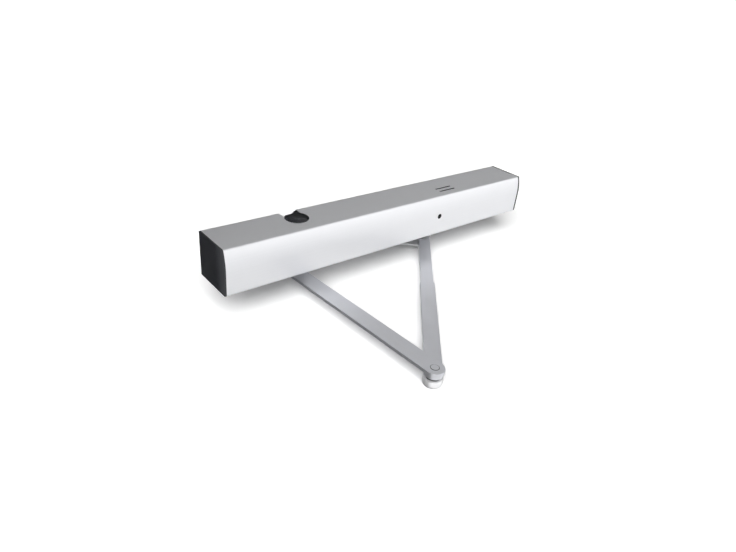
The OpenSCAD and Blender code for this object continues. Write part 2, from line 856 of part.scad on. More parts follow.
module piston() {
    color([0.55, 0.56, 0.58]) difference() {
        translate([0, spindle_y, 0]) rod_x(cyl_r - fit_gap, piston_x0, piston_x1);
        translate([0, 0, -cyl_r - 1]) linear_extrude(2 * cyl_r + 2) union() {
            translate([window_x0, spindle_y - pinion_tip - 0.6])
                square([window_l, pinion_tip + 0.6 + rack_tip]);
            for (k = [-2:floor((window_l - pinion_tip - 1) / rack_pitch) - 1]) {
                translate([spindle_x + k * rack_pitch, spindle_y]) rack_space();
            }
        }
        translate([0, spindle_y, 0]) {
            for (x = [piston_x0 + ring_inset, piston_x1 - ring_inset - ring_w]) {
                ring_x(cyl_r + 1, cyl_r - ring_depth, x, x + ring_w);
            }
            rod_x(spigot_r + 3, piston_x0 - 1, piston_x0 + 2);
            rod_x(5, piston_x1 - 8, piston_x1 + 1);
        }
    }
}

// Half width of a rack gap at a distance from the pinion's centre
function rack_half_gap(y) = rack_pitch / 4 + backlash / 4 - (y - pitch_r) * tan(pinion_pa);

// Space between two teeth of the rack
module rack_space() {
    mouth_y = rack_tip - eps;
    mouth = rack_half_gap(mouth_y);
    root = rack_half_gap(rack_root);
    polygon([[-mouth, mouth_y], [mouth, mouth_y], [root, rack_root], [-root, rack_root]]);
}

module piston_rings() {
    color([0.2, 0.2, 0.2]) translate([0, spindle_y, 0])
        for (x = [piston_x0 + ring_inset, piston_x1 - ring_inset - ring_w]) {
            ring_x(cyl_r - seal_play, cyl_r - ring_depth + seal_play, x + fit_gap, x + ring_w - fit_gap);
        }
}

spring_sides = 6;
spring_rings = 16;
function coil_centre(i) =
    let (t = i / (spring_rings * spring_turns), a = 360 * spring_turns * t)
    [seat_x + seat_t + spring_wire / 2 + 0.1 + (spring_l - spring_wire - 0.2) * t, a];
function coil_points() = [
    for (i = [0:spring_rings * spring_turns], k = [0:spring_sides - 1])
        let (c = coil_centre(i), b = 360 * k / spring_sides,
            r = spring_mid_r + spring_wire / 2 * cos(b))
        [c[0] + spring_wire / 2 * sin(b), spindle_y + r * cos(c[1]), r * sin(c[1])]
];
function coil_faces(n) = concat(
    [for (i = [0:n - 1], k = [0:spring_sides - 1])
        let (a = i * spring_sides + k, b = i * spring_sides + (k + 1) % spring_sides)
        [a, b, b + spring_sides]],
    [for (i = [0:n - 1], k = [0:spring_sides - 1])
        let (a = i * spring_sides + k, b = i * spring_sides + (k + 1) % spring_sides)
        [a, b + spring_sides, a + spring_sides]],
    [for (k = [1:spring_sides - 2]) [0, k + 1, k]],
    [for (k = [1:spring_sides - 2]) [n * spring_sides, n * spring_sides + k, n * spring_sides + k + 1]]
);

module closing_spring() {
    color([0.35, 0.36, 0.38])
        polyhedron(coil_points(), coil_faces(spring_rings * spring_turns), convexity = 10);
}

// Spindle with its pinion, journals and square end
module spindle() {
    color([0.6, 0.6, 0.63]) translate([spindle_x, spindle_y, 0]) difference() {
        union() {
            translate([0, 0, z_low + 2]) cylinder(r = spindle_r, h = spindle_top - z_low - 2);
            translate([0, 0, -pinion_h / 2]) linear_extrude(pinion_h)
                polygon(gear_points(pinion_teeth, pinion_module, pinion_pa, pinion_root, pinion_tip));
            translate([-drive_sq / 2, -drive_sq / 2, z_low - square_l])
                cube([drive_sq, drive_sq, square_l + 3]);
        }
        translate([0, 0, z_low - square_l - 1]) cylinder(r = tap_r, h = 2 * square_l + 2);
        translate([0, 0, spindle_top - tap_l]) cylinder(r = tap_r, h = tap_l + 1);
    }
}

// Stub that carries the main arm below the hood
module spindle_extension() {
    color([0.55, 0.55, 0.58]) translate([spindle_x, spindle_y, 0]) difference() {
        union() {
            translate([0, 0, arm_z1]) cylinder(r = stub_r, h = z_low + 2 - thin_gap - arm_z1);
            translate([0, 0, arm_z1]) cylinder(r = stub_flange_r, h = stub_flange_t);
            translate([-drive_sq / 2, -drive_sq / 2, arm_z0 + 0.2]) cube([drive_sq, drive_sq, arm_t]);
        }
        translate([-drive_sq / 2 - fit_gap, -drive_sq / 2 - fit_gap, z_low - square_l - slip_gap])
            cube([drive_sq + 2 * fit_gap, drive_sq + 2 * fit_gap, square_l + 6]);
        translate([0, 0, arm_z0 - 1]) cylinder(r = tap_r + fit_gap, h = arm_drop + arm_t);
    }
}

// Link of the given length with two round ends, along +X from the origin
module link(l, w, t, end_r) {
    linear_extrude(t) {
        circle(end_r);
        translate([l, 0]) circle(end_r);
        translate([0, -w / 2]) square([l, w]);
    }
}

module main_arm() {
    color([0.7, 0.71, 0.72]) translate([spindle_x, spindle_y, arm_z0]) rotate(arm_angle) difference() {
        link(arm_l, arm_w, arm_t, arm_w / 2);
        rotate(-arm_angle) translate([-drive_sq / 2 - fit_gap, -drive_sq / 2 - fit_gap, -1])
            cube([drive_sq + 2 * fit_gap, drive_sq + 2 * fit_gap, arm_t + 2]);
        translate([arm_l, 0, -1]) cylinder(r = pin_r + press_play, h = arm_t + 2);
    }
}

module arm_washer() {
    color([0.6, 0.6, 0.62]) translate([spindle_x, spindle_y, arm_z0 - washer_t])
        ring(washer_r, tap_r + thin_gap, washer_t);
}

module arm_screw() {
    color([0.6, 0.6, 0.62]) translate([spindle_x, spindle_y, arm_z0 - washer_t]) rotate([180, 0, 0])
        cap_screw(tap_r - fit_gap, arm_t + arm_drop + 10, 6.5, 6);
}

module at_elbow(z) {
    translate([elbow_x, elbow_y, z]) children();
}

module elbow_pin() {
    color([0.6, 0.6, 0.62]) at_elbow(0) {
        translate([0, 0, foot_z1 - pin_depth])
            cylinder(r = pin_r, h = arm_z1 - foot_z1 + pin_depth + eps);
        translate([0, 0, arm_z1]) rotate_extrude() polygon([
            [0, 0], [pin_head_r, 0], [pin_head_r, 0.3], [pin_head_r - 0.4, 0.7], [0, 0.7]
        ]);
    }
}

module elbow_washer() {
    color([0.2, 0.2, 0.21]) at_elbow(foot_z1)
        ring(elbow_washer_r, pin_r + thin_gap, eye_z0 - fit_gap - foot_z1);
}

module elbow_foot() {
    edge = 3.5;
    steps = 8;
    color([0.82, 0.82, 0.83]) at_elbow(foot_z0) difference() {
        rotate_extrude($fn = 96) polygon(concat(
            [[0, 0]],
            [for (i = [0:steps]) let (a = 90 * i / steps)
                [foot_r - edge + edge * sin(a), edge - edge * cos(a)]],
            [[foot_r, foot_h - 0.8], [foot_r - 0.8, foot_h], [0, foot_h]]
        ));
        translate([0, 0, foot_h - pin_depth]) cylinder(r = pin_r + press_play, h = pin_depth + 1);
    }
}

// Puts the forearm's pieces at the elbow and along the forearm
module along_forearm() {
    translate([elbow_x, elbow_y, 0]) rotate(fore_angle) children();
}

// Lipped channel, open below, in which the bar slides
module forearm_channel() {
    l = channel_end - channel_start;
    inner_w = channel_w - 2 * channel_wall;
    color([0.68, 0.69, 0.70]) along_forearm() difference() {
        translate([channel_start, 0, 0]) rotate([90, 0, 90]) linear_extrude(l) difference() {
            translate([0, (channel_z0 + channel_z1) / 2]) soft_rect(channel_w, channel_h, 1);
            translate([-inner_w / 2, channel_z0 + channel_wall])
                square([inner_w, channel_h - 2 * channel_wall]);
            translate([-inner_w / 2 + lip_w, channel_z0 - 1])
                square([inner_w - 2 * lip_w, channel_wall + 2]);
        }
        for (x = rivet_places) {
            translate([x, 0, bar_z0]) cylinder(r = rivet_r + fit_gap, h = rivet_z1 + fit_gap - bar_z0);
        }
    }
}

rivet_places = [channel_start + rivet_inset, channel_start + rivet_inset + rivet_pitch];

// End piece of the channel: an eye flush with the channel and a tang riveted inside it
module elbow_eye() {
    color([0.62, 0.63, 0.64]) along_forearm() difference() {
        union() {
            translate([0, 0, eye_z0]) linear_extrude(eye_t) {
                circle(eye_r);
                translate([0, -channel_w / 2]) square([channel_start - fit_gap, channel_w]);
            }
            translate([tang_x, -bar_w / 2, bar_z0]) cube([eye_l - tang_x, bar_w, bar_t]);
        }
        translate([0, 0, eye_z0 - 1]) cylinder(r = pin_r + bush_t + press_play, h = eye_t + 2);
        for (x = rivet_places) {
            translate([x, 0, bar_z0 - 1]) cylinder(r = rivet_r + fit_gap, h = bar_t + 2);
        }
    }
}

module elbow_bush() {
    color([0.75, 0.6, 0.35]) at_elbow(0) {
        translate([0, 0, eye_z0]) ring(pin_r + bush_t, pin_r + fit_gap, eye_t + eps);
        translate([0, 0, channel_z1]) ring(bush_flange_r, pin_r + fit_gap, arm_z0 - fit_gap - channel_z1);
    }
}

module forearm_rivets() {
    color([0.6, 0.6, 0.62]) along_forearm() for (x = rivet_places) {
        translate([x, 0, 0]) {
            translate([0, 0, bar_z0]) cylinder(r = rivet_r, h = rivet_z1 - bar_z0);
            translate([0, 0, bar_z0 - 1]) cylinder(r = rivet_head_r, h = 1);
        }
    }
}

module forearm_bar() {
    color([0.72, 0.73, 0.74]) along_forearm() difference() {
        translate([0, 0, bar_z0]) linear_extrude(bar_t) {
            translate([bar_back, -bar_w / 2]) square([fore_l - bar_back, bar_w]);
            translate([fore_l, 0]) circle(bar_w / 2);
        }
        translate([fore_l, 0, bar_z0 - 1]) cylinder(r = shoe_pin_r + bush_t + press_play, h = bar_t + 2);
        for (x = clamp_screw_places) {
            translate([x, 0, bar_z0 - 1]) cylinder(r = clamp_screw_r + fit_gap, h = clamp_tap + 1);
        }
    }
}

clamp_screw_places = [clamp_at + 6, clamp_at + clamp_l - 6];

// Plate under the channel's lips and two screws that draw it to the bar
module bar_clamp() {
    color([0.5, 0.5, 0.53]) along_forearm() {
        difference() {
            translate([clamp_at, -channel_w / 2 + 1.5, channel_z0 - thin_gap - clamp_t])
                cube([clamp_l, channel_w - 3, clamp_t]);
            for (x = clamp_screw_places) {
                translate([x, 0, channel_z0 - clamp_t - 1])
                    cylinder(r = clamp_screw_r + fit_gap, h = clamp_t + 2);
            }
        }
        for (x = clamp_screw_places) {
            translate([x, 0, channel_z0 - thin_gap - clamp_t - fit_gap]) rotate([180, 0, 0])
                cap_screw(clamp_screw_r, bar_z0 + clamp_tap - 0.4 - channel_z0 + thin_gap + clamp_t, 4.4, 3);
        }
    }
}

module shoe_bush() {
    color([0.75, 0.6, 0.35]) along_forearm() translate([fore_l, 0, bar_z0])
        ring(shoe_pin_r + bush_t, shoe_pin_r + fit_gap, bar_t);
}

// Angle bracket: an ear under the bar and an upright plate on the door
module door_shoe() {
    ear_l = shoe_l - shoe_side + ear_side;
    color([0.45, 0.46, 0.48]) along_forearm() translate([fore_l, 0, 0]) difference() {
        union() {
            translate([0, 0, ear_z0]) linear_extrude(shoe_t) {
                translate([(shoe_reach - ear_front) / 2, ear_l / 2 - ear_side])
                    soft_rect(shoe_reach + ear_front, ear_l, ear_corner);
                translate([shoe_reach / 2, -ear_side]) square([shoe_reach / 2, ear_l]);
            }
            translate([shoe_reach - shoe_t, -shoe_side, ear_z0]) cube([shoe_t, shoe_l, shoe_h]);
        }
        translate([0, 0, ear_z0 - 1]) cylinder(r = shoe_pin_r + press_play, h = shoe_t + 2);
        for (s = [-1, 1]) {
            translate([0, shoe_l / 2 - shoe_side + s * shoe_span / 2, ear_z0 + shoe_h / 2 + 2])
                rod_x(shoe_hole_r, shoe_reach - shoe_t - 1, shoe_reach + 1);
        }
    }
}

module shoe_pin() {
    color([0.6, 0.6, 0.62]) along_forearm() translate([fore_l, 0, 0]) {
        translate([0, 0, ear_z0]) cylinder(r = shoe_pin_r, h = bar_z1 + fit_gap - ear_z0 + eps);
        translate([0, 0, bar_z1 + fit_gap]) cylinder(r = 7, h = 2);
        translate([0, 0, ear_z0 - 1]) cylinder(r = 6, h = 1);
    }
}

module pump_block() {
    color([0.62, 0.63, 0.65]) difference() {
        along_x(pump_x0, pump_x1) translate([closer_y, 0]) soft_rect(closer_d, closer_h, pump_corner);
        for (z = [0, -2 * gear_pitch_r]) {
            translate([0, spindle_y, z]) {
                rod_x(gear_tip + fit_gap, pump_x1 - gear_w, pump_x1 + 1);
                rod_x(shaft_r + fit_gap, shaft_end - 0.5, pump_x1);
            }
        }
        for (p = body_screw_places) {
            translate([p[0], 0, p[1]]) rod_y(body_screw_r, -plate_t - body_hole_l, 0);
        }
        for (p = cover_screw_places) {
            translate([0, spindle_y + p[0], p[1]]) rod_x(unit_screw_r, pump_x1 - pump_bolt_l, pump_x1 + 1);
        }
    }
}

cover_screw_places = [for (y = [-pump_bolt_at, pump_bolt_at], z = [-pump_bolt_at, pump_bolt_at]) [y, z]];

module pump_cover() {
    color([0.5, 0.5, 0.53]) difference() {
        along_x(pump_x1, motor_x0) translate([closer_y, 0]) soft_rect(closer_d, closer_h, pump_corner);
        translate([0, spindle_y, 0]) rod_x(bush_r + press_play, pump_x1 + 1, motor_x0 + 1);
        translate([0, spindle_y, 0]) rod_x(shaft_r + fit_gap, pump_x1 - 1, motor_x0 + 1);
        for (p = cover_screw_places) {
            translate([0, spindle_y + p[0], p[1]]) rod_x(unit_screw_r + fit_gap, pump_x1 - 1, motor_x0 + 1);
        }
    }
}

module motor_can() {
    color([0.3, 0.31, 0.33]) translate([0, spindle_y, 0]) {
        ring_x(motor_r, motor_r - can_t, motor_x0, motor_x1);
    }
}

module motor_magnets() {
    color([0.25, 0.25, 0.26]) translate([0, spindle_y, 0]) intersection() {
        ring_x(motor_r - can_t - fit_gap, motor_r - can_t - magnet_t, magnet_x0, magnet_x0 + magnet_l);
        for (s = [-1, 1]) {
            rotate([45 + s * 90 + 45, 0, 0]) translate([magnet_x0, 0, 0]) {
                rotate([-55, 0, 0]) cube([magnet_l, motor_r, motor_r]);
                rotate([-35, 0, 0]) cube([magnet_l, motor_r, motor_r]);
            }
        }
    }
}

module motor_end_bell() {
    color([0.2, 0.2, 0.21]) translate([0, spindle_y, 0]) difference() {
        union() {
            rod_x(motor_r, motor_x1, motor_x1 + bell_t);
            rod_x(motor_r - can_t - fit_gap, motor_x1 - 3, motor_x1 + eps);
            rod_x(bell_nub_r, motor_x1 + bell_t - eps, bay_x0);
        }
        rod_x(bush_r + press_play, motor_x1 - 4, motor_x1 + bell_t);
        for (s = [-1, 1]) {
            translate([motor_x1 - 4, s * 15, 0]) rotate([0, 90, 0]) cylinder(r = 3, h = 5, $fn = 24);
        }
    }
}

module motor_bushes() {
    color([0.75, 0.6, 0.35]) translate([0, spindle_y, 0]) {
        ring_x(bush_r, shaft_r + fit_gap, pump_x1 + 1.05, motor_x0);
        ring_x(bush_r, shaft_r + fit_gap, motor_x1 - 1, motor_x1 + bell_t - 0.05);
    }
}

commutator_x0 = magnet_x0 + magnet_l + 4;

module motor_brushes() {
    color([0.15, 0.15, 0.16]) translate([0, spindle_y, 0]) for (s = [-1, 1]) {
        translate([commutator_x0 + commutator_l / 2 - brush_w / 2, -brush_w / 2,
            s > 0 ? commutator_r + thin_gap : -motor_r + can_t + thin_gap])
            cube([brush_w, brush_w, motor_r - can_t - commutator_r - 2 * thin_gap]);
    }
}

// One gear of the pump, turned by an angle about its own axis
module pump_gear(turn) {
    translate([gear_x1 - gear_w + thin_gap, 0, 0]) rotate([90, 0, 90]) linear_extrude(gear_w - thin_gap)
        rotate(turn) polygon(gear_points(gear_teeth, gear_module, gear_pa, gear_root, gear_tip - fit_gap));
}

// Shaft, slotted armature, commutator and driving gear in one piece
module motor_rotor() {
    color([0.65, 0.5, 0.35]) translate([0, spindle_y, 0]) {
        difference() {
            union() {
                rod_x(shaft_r, shaft_end, motor_x1 + bell_t - 1);
                rod_x(rotor_r, magnet_x0, magnet_x0 + magnet_l);
                rod_x(commutator_r, commutator_x0, commutator_x0 + commutator_l);
                pump_gear(90);
            }
            for (k = [0:slot_n - 1]) {
                rotate([k * 360 / slot_n, 0, 0]) translate([magnet_x0 - 1, -1, rotor_r - 7])
                    cube([magnet_l + 2, 2, 8]);
            }
        }
    }
}

module pump_idler_gear() {
    color([0.6, 0.6, 0.62]) translate([0, spindle_y, -2 * gear_pitch_r]) {
        rod_x(shaft_r, shaft_end, gear_x1);
        pump_gear(90 + (gear_teeth % 2 == 0 ? 180 / gear_teeth : 0));
    }
}

// Moulded tray with walls, four posts and a floor on the mounting plate
module control_case() {
    color([0.16, 0.16, 0.18]) difference() {
        union() {
            translate([case_x0, -plate_t - case_d, -case_z]) difference() {
                cube([case_l, case_d, 2 * case_z]);
                translate([case_wall, -1, case_wall])
                    cube([case_l - 2 * case_wall, case_d - case_wall + 1, 2 * case_z - 2 * case_wall]);
                for (x = [-1, case_l - case_wall - 1]) {
                    translate([x, case_d - 8 - case_mouth_d, case_z - case_mouth_h / 2])
                        cube([case_wall + 2, case_mouth_d, case_mouth_h]);
                }
            }
            for (x = board_post_x, z = board_post_z) {
                translate([x, 0, z]) rod_y(post_r, board_y + fit_gap, -plate_t - eps);
            }
        }
        for (x = case_screw_x) {
            translate([x, 0, 0]) rod_y(unit_screw_r + fit_gap, -plate_t - case_wall - 1, 1);
        }
        for (x = board_post_x, z = board_post_z) {
            translate([x, 0, z]) rod_y(1.2, board_y - 1, board_y + 10);
        }
    }
}

board_post_x = [case_x0 + post_inset, case_x0 + case_l - post_inset];
board_post_z = [-case_z + post_inset, case_z - post_inset];

module circuit_board() {
    color([0.1, 0.35, 0.2]) difference() {
        translate([board_x0, board_front, -board_z]) cube([board_x1 - board_x0, board_t, 2 * board_z]);
        for (x = board_post_x, z = board_post_z) {
            translate([x, 0, z]) rod_y(1.3, board_front - 1, board_y + 1);
        }
    }
}

// Row of terminals: a block with a screw well and a wire mouth for each pole
module terminal_row(poles, pitch, w, h) {
    difference() {
        translate([0, -h, 0]) cube([poles * pitch, h, w]);
        for (k = [0:poles - 1]) {
            translate([(k + 0.5) * pitch, 0, w * 0.6]) rod_y(pitch * 0.32, -h - 1, -h + 3);
            translate([(k + 0.22) * pitch, -h + 4, -1]) cube([pitch * 0.56, 4, w * 0.5]);
        }
    }
}

module board_terminals() {
    color([0.15, 0.45, 0.25]) for (x = [board_x0 + row_gap, board_x1 - row_gap - pole_n * pole_pitch]) {
        translate([x, board_front, 1 - board_z]) terminal_row(pole_n, pole_pitch, row_w, row_h);
    }
}

module board_relays() {
    color([0.2, 0.3, 0.6]) for (k = [0:relay_n - 1]) {
        translate([relay_x0 + k * relay_pitch, board_front - relay_h, board_z - 4 - relay_w])
            cube([relay_l, relay_h, relay_w]);
    }
}

module board_capacitors() {
    color([0.12, 0.12, 0.2]) for (c = capacitors) {
        translate([board_x1 - c[0], 0, c[1]]) rod_y(c[2], board_front - capacitor_h, board_front);
    }
}

module status_light() {
    color([0.85, 0.86, 0.88]) translate([window_x, 0, window_z]) {
        rod_y(2.4, -hood_d + hood_wall + 1.3, board_front);
        rod_y(3.4, board_front - 4, board_front);
    }
}

module transformer_core() {
    color([0.35, 0.36, 0.38]) translate([core_x, core_y, 0]) difference() {
        cube([core_l, core_t, core_h], center = true);
        for (s = [-1, 1]) {
            translate([s * (limb / 4 + limb / 2), 0, 0])
                cube([limb / 2, core_t + 2, core_h - limb], center = true);
        }
    }
}

module transformer_coil() {
    color([0.75, 0.55, 0.25]) translate([core_x, core_y, 0]) difference() {
        linear_extrude(core_h - limb - window_gap, center = true)
            soft_rect(2 * limb - window_gap, core_t + limb - window_gap, 3);
        cube([limb + 0.2, core_t + 0.2, core_h], center = true);
    }
}

module transformer_bracket() {
    w = strap_w;
    front = core_y - core_t / 2;
    outer = core_l / 2 + strap_t;
    color([0.7, 0.7, 0.72]) translate([core_x, 0, 0]) difference() {
        union() {
            for (s = [-1, 1]) {
                translate([s * (core_l / 2 + fit_gap + strap_t / 2) - strap_t / 2, front - strap_t, -w / 2])
                    cube([strap_t, -plate_t - front + strap_t, w]);
                translate([s > 0 ? core_l / 2 + fit_gap : -outer - foot_l, -plate_t - strap_t, -w / 2])
                    cube([foot_l + strap_t - fit_gap, strap_t, w]);
                for (t = [-1, 1]) {
                    translate([s * (core_l / 2 + fit_gap + strap_t - 2) - 2, front - strap_t, t * 6 - 2])
                        cube([4, strap_t, 4]);
                }
            }
        }
        for (s = [-1, 1]) {
            translate([s * (outer + foot_l / 2), 0, 0])
                rod_y(unit_screw_r + fit_gap, -plate_t - strap_t - 1, 0);
        }
    }
}

module mains_terminals() {
    color([0.9, 0.9, 0.88]) translate([mains_x0, -plate_t, -mains_h / 2]) difference() {
        translate([0, -mains_d, 0]) cube([mains_l, mains_d, mains_h]);
        for (k = [0:2]) {
            translate([mains_l * 0.35, 0, 11 + k * 6]) rod_y(2, -mains_d - 1, -mains_d + 8);
            translate([-1, -mains_d + 5, 9 + k * 6]) cube([mains_l * 0.4, 4, 4]);
        }
        for (z = [4, mains_h - 4]) {
            translate([mains_l / 2, 0, z]) rod_y(unit_screw_r + fit_gap, -mains_d - 1, 1);
            translate([mains_l / 2, 0, z]) rod_y(unit_head_r + slip_gap, -mains_d - 1, -mains_base);
        }
    }
}

// Screw of the given length that points into the wall, its head on the plane at the given distance
module unit_screw(x, depth, z, l) {
    translate([x, -depth, z]) rotate([90, 0, 0])
        cap_screw(unit_screw_r - fit_gap, l, unit_head_r, unit_head_h);
}

// Screws that hold the case, the transformer, the mains terminals and the pump cover
module unit_screws() {
    color([0.6, 0.6, 0.62]) {
        for (x = case_screw_x) {
            unit_screw(x, plate_t + case_wall, 0, plate_t + case_wall);
        }
        for (x = strap_screw_x) {
            unit_screw(x, plate_t + strap_t, 0, plate_t + strap_t);
        }
        for (z = mains_screw_z) {
            unit_screw(mains_x0 + mains_l / 2, plate_t + mains_base, z, plate_t + mains_base);
        }
        for (p = cover_screw_places) {
            translate([motor_x0, spindle_y + p[0], p[1]]) rotate([0, 90, 0])
                cap_screw(unit_screw_r - fit_gap, pump_cover_t + pump_bolt_l - 1, pump_head_r, unit_head_h);
        }
    }
}

mounting_plate();
hood();
left_end_cap();
right_end_cap();
spindle_cover();
status_window();
hood_screws();
closer_body();
body_screws();
spring_end_plug();
spring_adjuster();
spring_seat();
pump_end_plug();
plug_seals();
bearing_outer_rings();
bearing_balls();
shaft_seals();
bearing_covers();
speed_valves();
pump_block();
pump_cover();
motor_can();
motor_magnets();
motor_end_bell();
motor_bushes();
motor_brushes();
control_case();
circuit_board();
board_terminals();
board_relays();
board_capacitors();
status_light();
transformer_core();
transformer_coil();
transformer_bracket();
mains_terminals();
unit_screws();
spindle();
bearing_inner_rings();
spindle_extension();
main_arm();
arm_washer();
arm_screw();
elbow_pin();
elbow_washer();
elbow_foot();
piston();
piston_rings();
closing_spring();
forearm_channel();
elbow_eye();
elbow_bush();
forearm_rivets();
forearm_bar();
shoe_bush();
bar_clamp();
door_shoe();
shoe_pin();
motor_rotor();
pump_idler_gear();
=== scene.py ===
import json
import math

import bmesh
import bpy
from mathutils import Matrix, Vector


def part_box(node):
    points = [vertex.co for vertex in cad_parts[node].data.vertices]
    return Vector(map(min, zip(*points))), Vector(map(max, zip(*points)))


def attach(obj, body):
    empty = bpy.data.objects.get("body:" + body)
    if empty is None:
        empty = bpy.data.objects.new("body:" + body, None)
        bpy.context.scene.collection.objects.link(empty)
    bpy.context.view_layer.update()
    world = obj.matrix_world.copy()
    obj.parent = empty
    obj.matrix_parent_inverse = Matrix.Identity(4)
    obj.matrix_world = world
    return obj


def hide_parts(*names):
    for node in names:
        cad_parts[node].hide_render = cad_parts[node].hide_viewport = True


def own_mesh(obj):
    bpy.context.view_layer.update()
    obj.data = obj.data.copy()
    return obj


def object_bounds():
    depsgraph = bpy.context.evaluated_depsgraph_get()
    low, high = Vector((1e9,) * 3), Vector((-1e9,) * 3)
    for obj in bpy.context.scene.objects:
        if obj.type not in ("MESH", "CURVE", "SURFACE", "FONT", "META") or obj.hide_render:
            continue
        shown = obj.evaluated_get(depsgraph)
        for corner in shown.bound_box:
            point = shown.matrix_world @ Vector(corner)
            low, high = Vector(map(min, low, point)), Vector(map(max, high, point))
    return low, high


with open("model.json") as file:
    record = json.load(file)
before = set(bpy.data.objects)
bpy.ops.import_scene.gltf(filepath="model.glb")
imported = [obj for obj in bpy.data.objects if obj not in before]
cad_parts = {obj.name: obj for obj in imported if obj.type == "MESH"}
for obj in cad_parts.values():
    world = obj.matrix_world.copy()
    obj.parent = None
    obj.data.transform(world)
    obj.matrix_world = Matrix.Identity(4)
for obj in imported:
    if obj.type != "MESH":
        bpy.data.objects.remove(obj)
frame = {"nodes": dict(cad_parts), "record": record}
cad_low, cad_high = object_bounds()
scene = bpy.context.scene
scene.view_settings.view_transform = "Standard"

MM = 0.001

# Camera: the photograph's viewing angle
CAMERA_AZIMUTH = -42.31
CAMERA_ELEVATION = 29.7
CAMERA_ROLL = 5.97
CAMERA_PLACE = Vector((-667.4, -741.0, 427.3)) * MM
CAMERA_LENS = 27.88
CAMERA_NEAR = 0.01
CAMERA_FAR = 50.0
SENSOR_WIDTH = 36.0


def make_camera():
    azimuth = math.radians(CAMERA_AZIMUTH)
    elevation = math.radians(CAMERA_ELEVATION)
    roll = math.radians(CAMERA_ROLL)
    back = Vector((
        math.sin(azimuth) * math.cos(elevation),
        -math.cos(azimuth) * math.cos(elevation),
        math.sin(elevation),
    ))
    right = (-back).cross(Vector((0, 0, 1))).normalized()
    up = right.cross(-back)
    turned_right = math.cos(roll) * right + math.sin(roll) * up
    turned_up = -math.sin(roll) * right + math.cos(roll) * up
    data = bpy.data.cameras.new("camera")
    data.lens = CAMERA_LENS
    data.sensor_width = SENSOR_WIDTH
    data.clip_start = CAMERA_NEAR
    data.clip_end = CAMERA_FAR
    camera = bpy.data.objects.new("camera", data)
    scene.collection.objects.link(camera)
    axes = Matrix((turned_right, turned_up, back)).transposed().to_4x4()
    camera.matrix_world = Matrix.Translation(CAMERA_PLACE) @ axes
    scene.camera = camera


make_camera()


# Node helpers

VALUE_OPERATIONS = ("DOT_PRODUCT", "LENGTH")


def node(tree, kind, **settings):
    made = tree.nodes.new(kind)
    for key, value in settings.items():
        setattr(made, key, value)
    return made


def feed(tree, value, target):
    """Gives a node's input a plain value, or a link when the value is another node's output."""
    if isinstance(value, bpy.types.NodeSocket):
        tree.links.new(value, target)
    else:
        target.default_value = value


def math_node(tree, operation, *values, clamp=False):
    made = node(tree, "ShaderNodeMath", operation=operation, use_clamp=clamp)
    for value, target in zip(values, made.inputs):
        feed(tree, value, target)
    return made.outputs[0]


def vector_node(tree, operation, *values):
    made = node(tree, "ShaderNodeVectorMath", operation=operation)
    for value, target in zip(values, made.inputs):
        feed(tree, value, target)
    return made.outputs["Value" if operation in VALUE_OPERATIONS else "Vector"]


def product(tree, first, *others):
    for other in others:
        first = math_node(tree, "MULTIPLY", first, other)
    return first


def joined(tree, *parts):
    made = node(tree, "ShaderNodeCombineXYZ")
    for value, target in zip(parts, made.inputs):
        feed(tree, value, target)
    return made.outputs[0]


def parts_of(tree, vector):
    made = node(tree, "ShaderNodeSeparateXYZ")
    feed(tree, vector, made.inputs[0])
    return made.outputs


def map_range(tree, value, start, end, low, high, interpolation="LINEAR"):
    made = node(tree, "ShaderNodeMapRange", interpolation_type=interpolation)
    feed(tree, value, made.inputs["Value"])
    for label, number in (("From Min", start), ("From Max", end), ("To Min", low), ("To Max", high)):
        made.inputs[label].default_value = number
    return made.outputs["Result"]


def mix_colour(tree, factor, a, b):
    made = node(tree, "ShaderNodeMix", data_type="RGBA")
    feed(tree, factor, made.inputs["Factor"])
    for value, target in ((a, made.inputs[6]), (b, made.inputs[7])):
        feed(tree, (*value, 1.0) if isinstance(value, tuple) else value, target)
    return made.outputs[2]


def blend_values(tree, factor, a, b):
    made = node(tree, "ShaderNodeMix", data_type="FLOAT")
    for value, target in ((factor, made.inputs[0]), (a, made.inputs[2]), (b, made.inputs[3])):
        feed(tree, value, target)
    return made.outputs[0]


def noise(tree, vector, scale, detail, roughness=0.5):
    made = node(tree, "ShaderNodeTexNoise")
    feed(tree, vector, made.inputs["Vector"])
    feed(tree, scale, made.inputs["Scale"])
    feed(tree, detail, made.inputs["Detail"])
    feed(tree, roughness, made.inputs["Roughness"])
    return made.outputs["Fac"]


# Surface groups

STREAK_SCALE = 0.16        # scale of the streaks, as a share of that of the fine lines
EDGE_RADIUS = 0.7 * MM     # how far from an edge the wear reaches
EDGE_CONTRAST = 9.0
PATCH_START = 0.35         # noise below this leaves an edge unworn
PATCH_CONTRAST = 3.0


def new_group(name, values, results):
    """A node group that takes a vector and these values, and puts out these results."""
    tree = bpy.data.node_groups.new(name, "ShaderNodeTree")
    tree.interface.new_socket(name="Vector", in_out="INPUT", socket_type="NodeSocketVector")
    for label, value in values.items():
        socket = tree.interface.new_socket(name=label, in_out="INPUT", socket_type="NodeSocketFloat")
        socket.default_value = value
    for label in results:
        tree.interface.new_socket(name=label, in_out="OUTPUT", socket_type="NodeSocketFloat")
    return tree, node(tree, "NodeGroupInput").outputs, node(tree, "NodeGroupOutput").inputs


def grain_group():
    """Fine drawn lines along X, as on extruded, brushed or ground metal."""
    tree, given, result = new_group("drawn_grain", {"Across": 3000.0, "Along": 12.0}, ("Height", "Streak"))
    scale = joined(tree, given["Along"], given["Across"], given["Across"])
    stretched = vector_node(tree, "MULTIPLY", given["Vector"], scale)
    feed(tree, noise(tree, stretched, 1.0, detail=2.0), result["Height"])
    feed(tree, noise(tree, stretched, STREAK_SCALE, detail=3.0), result["Streak"])
    return tree


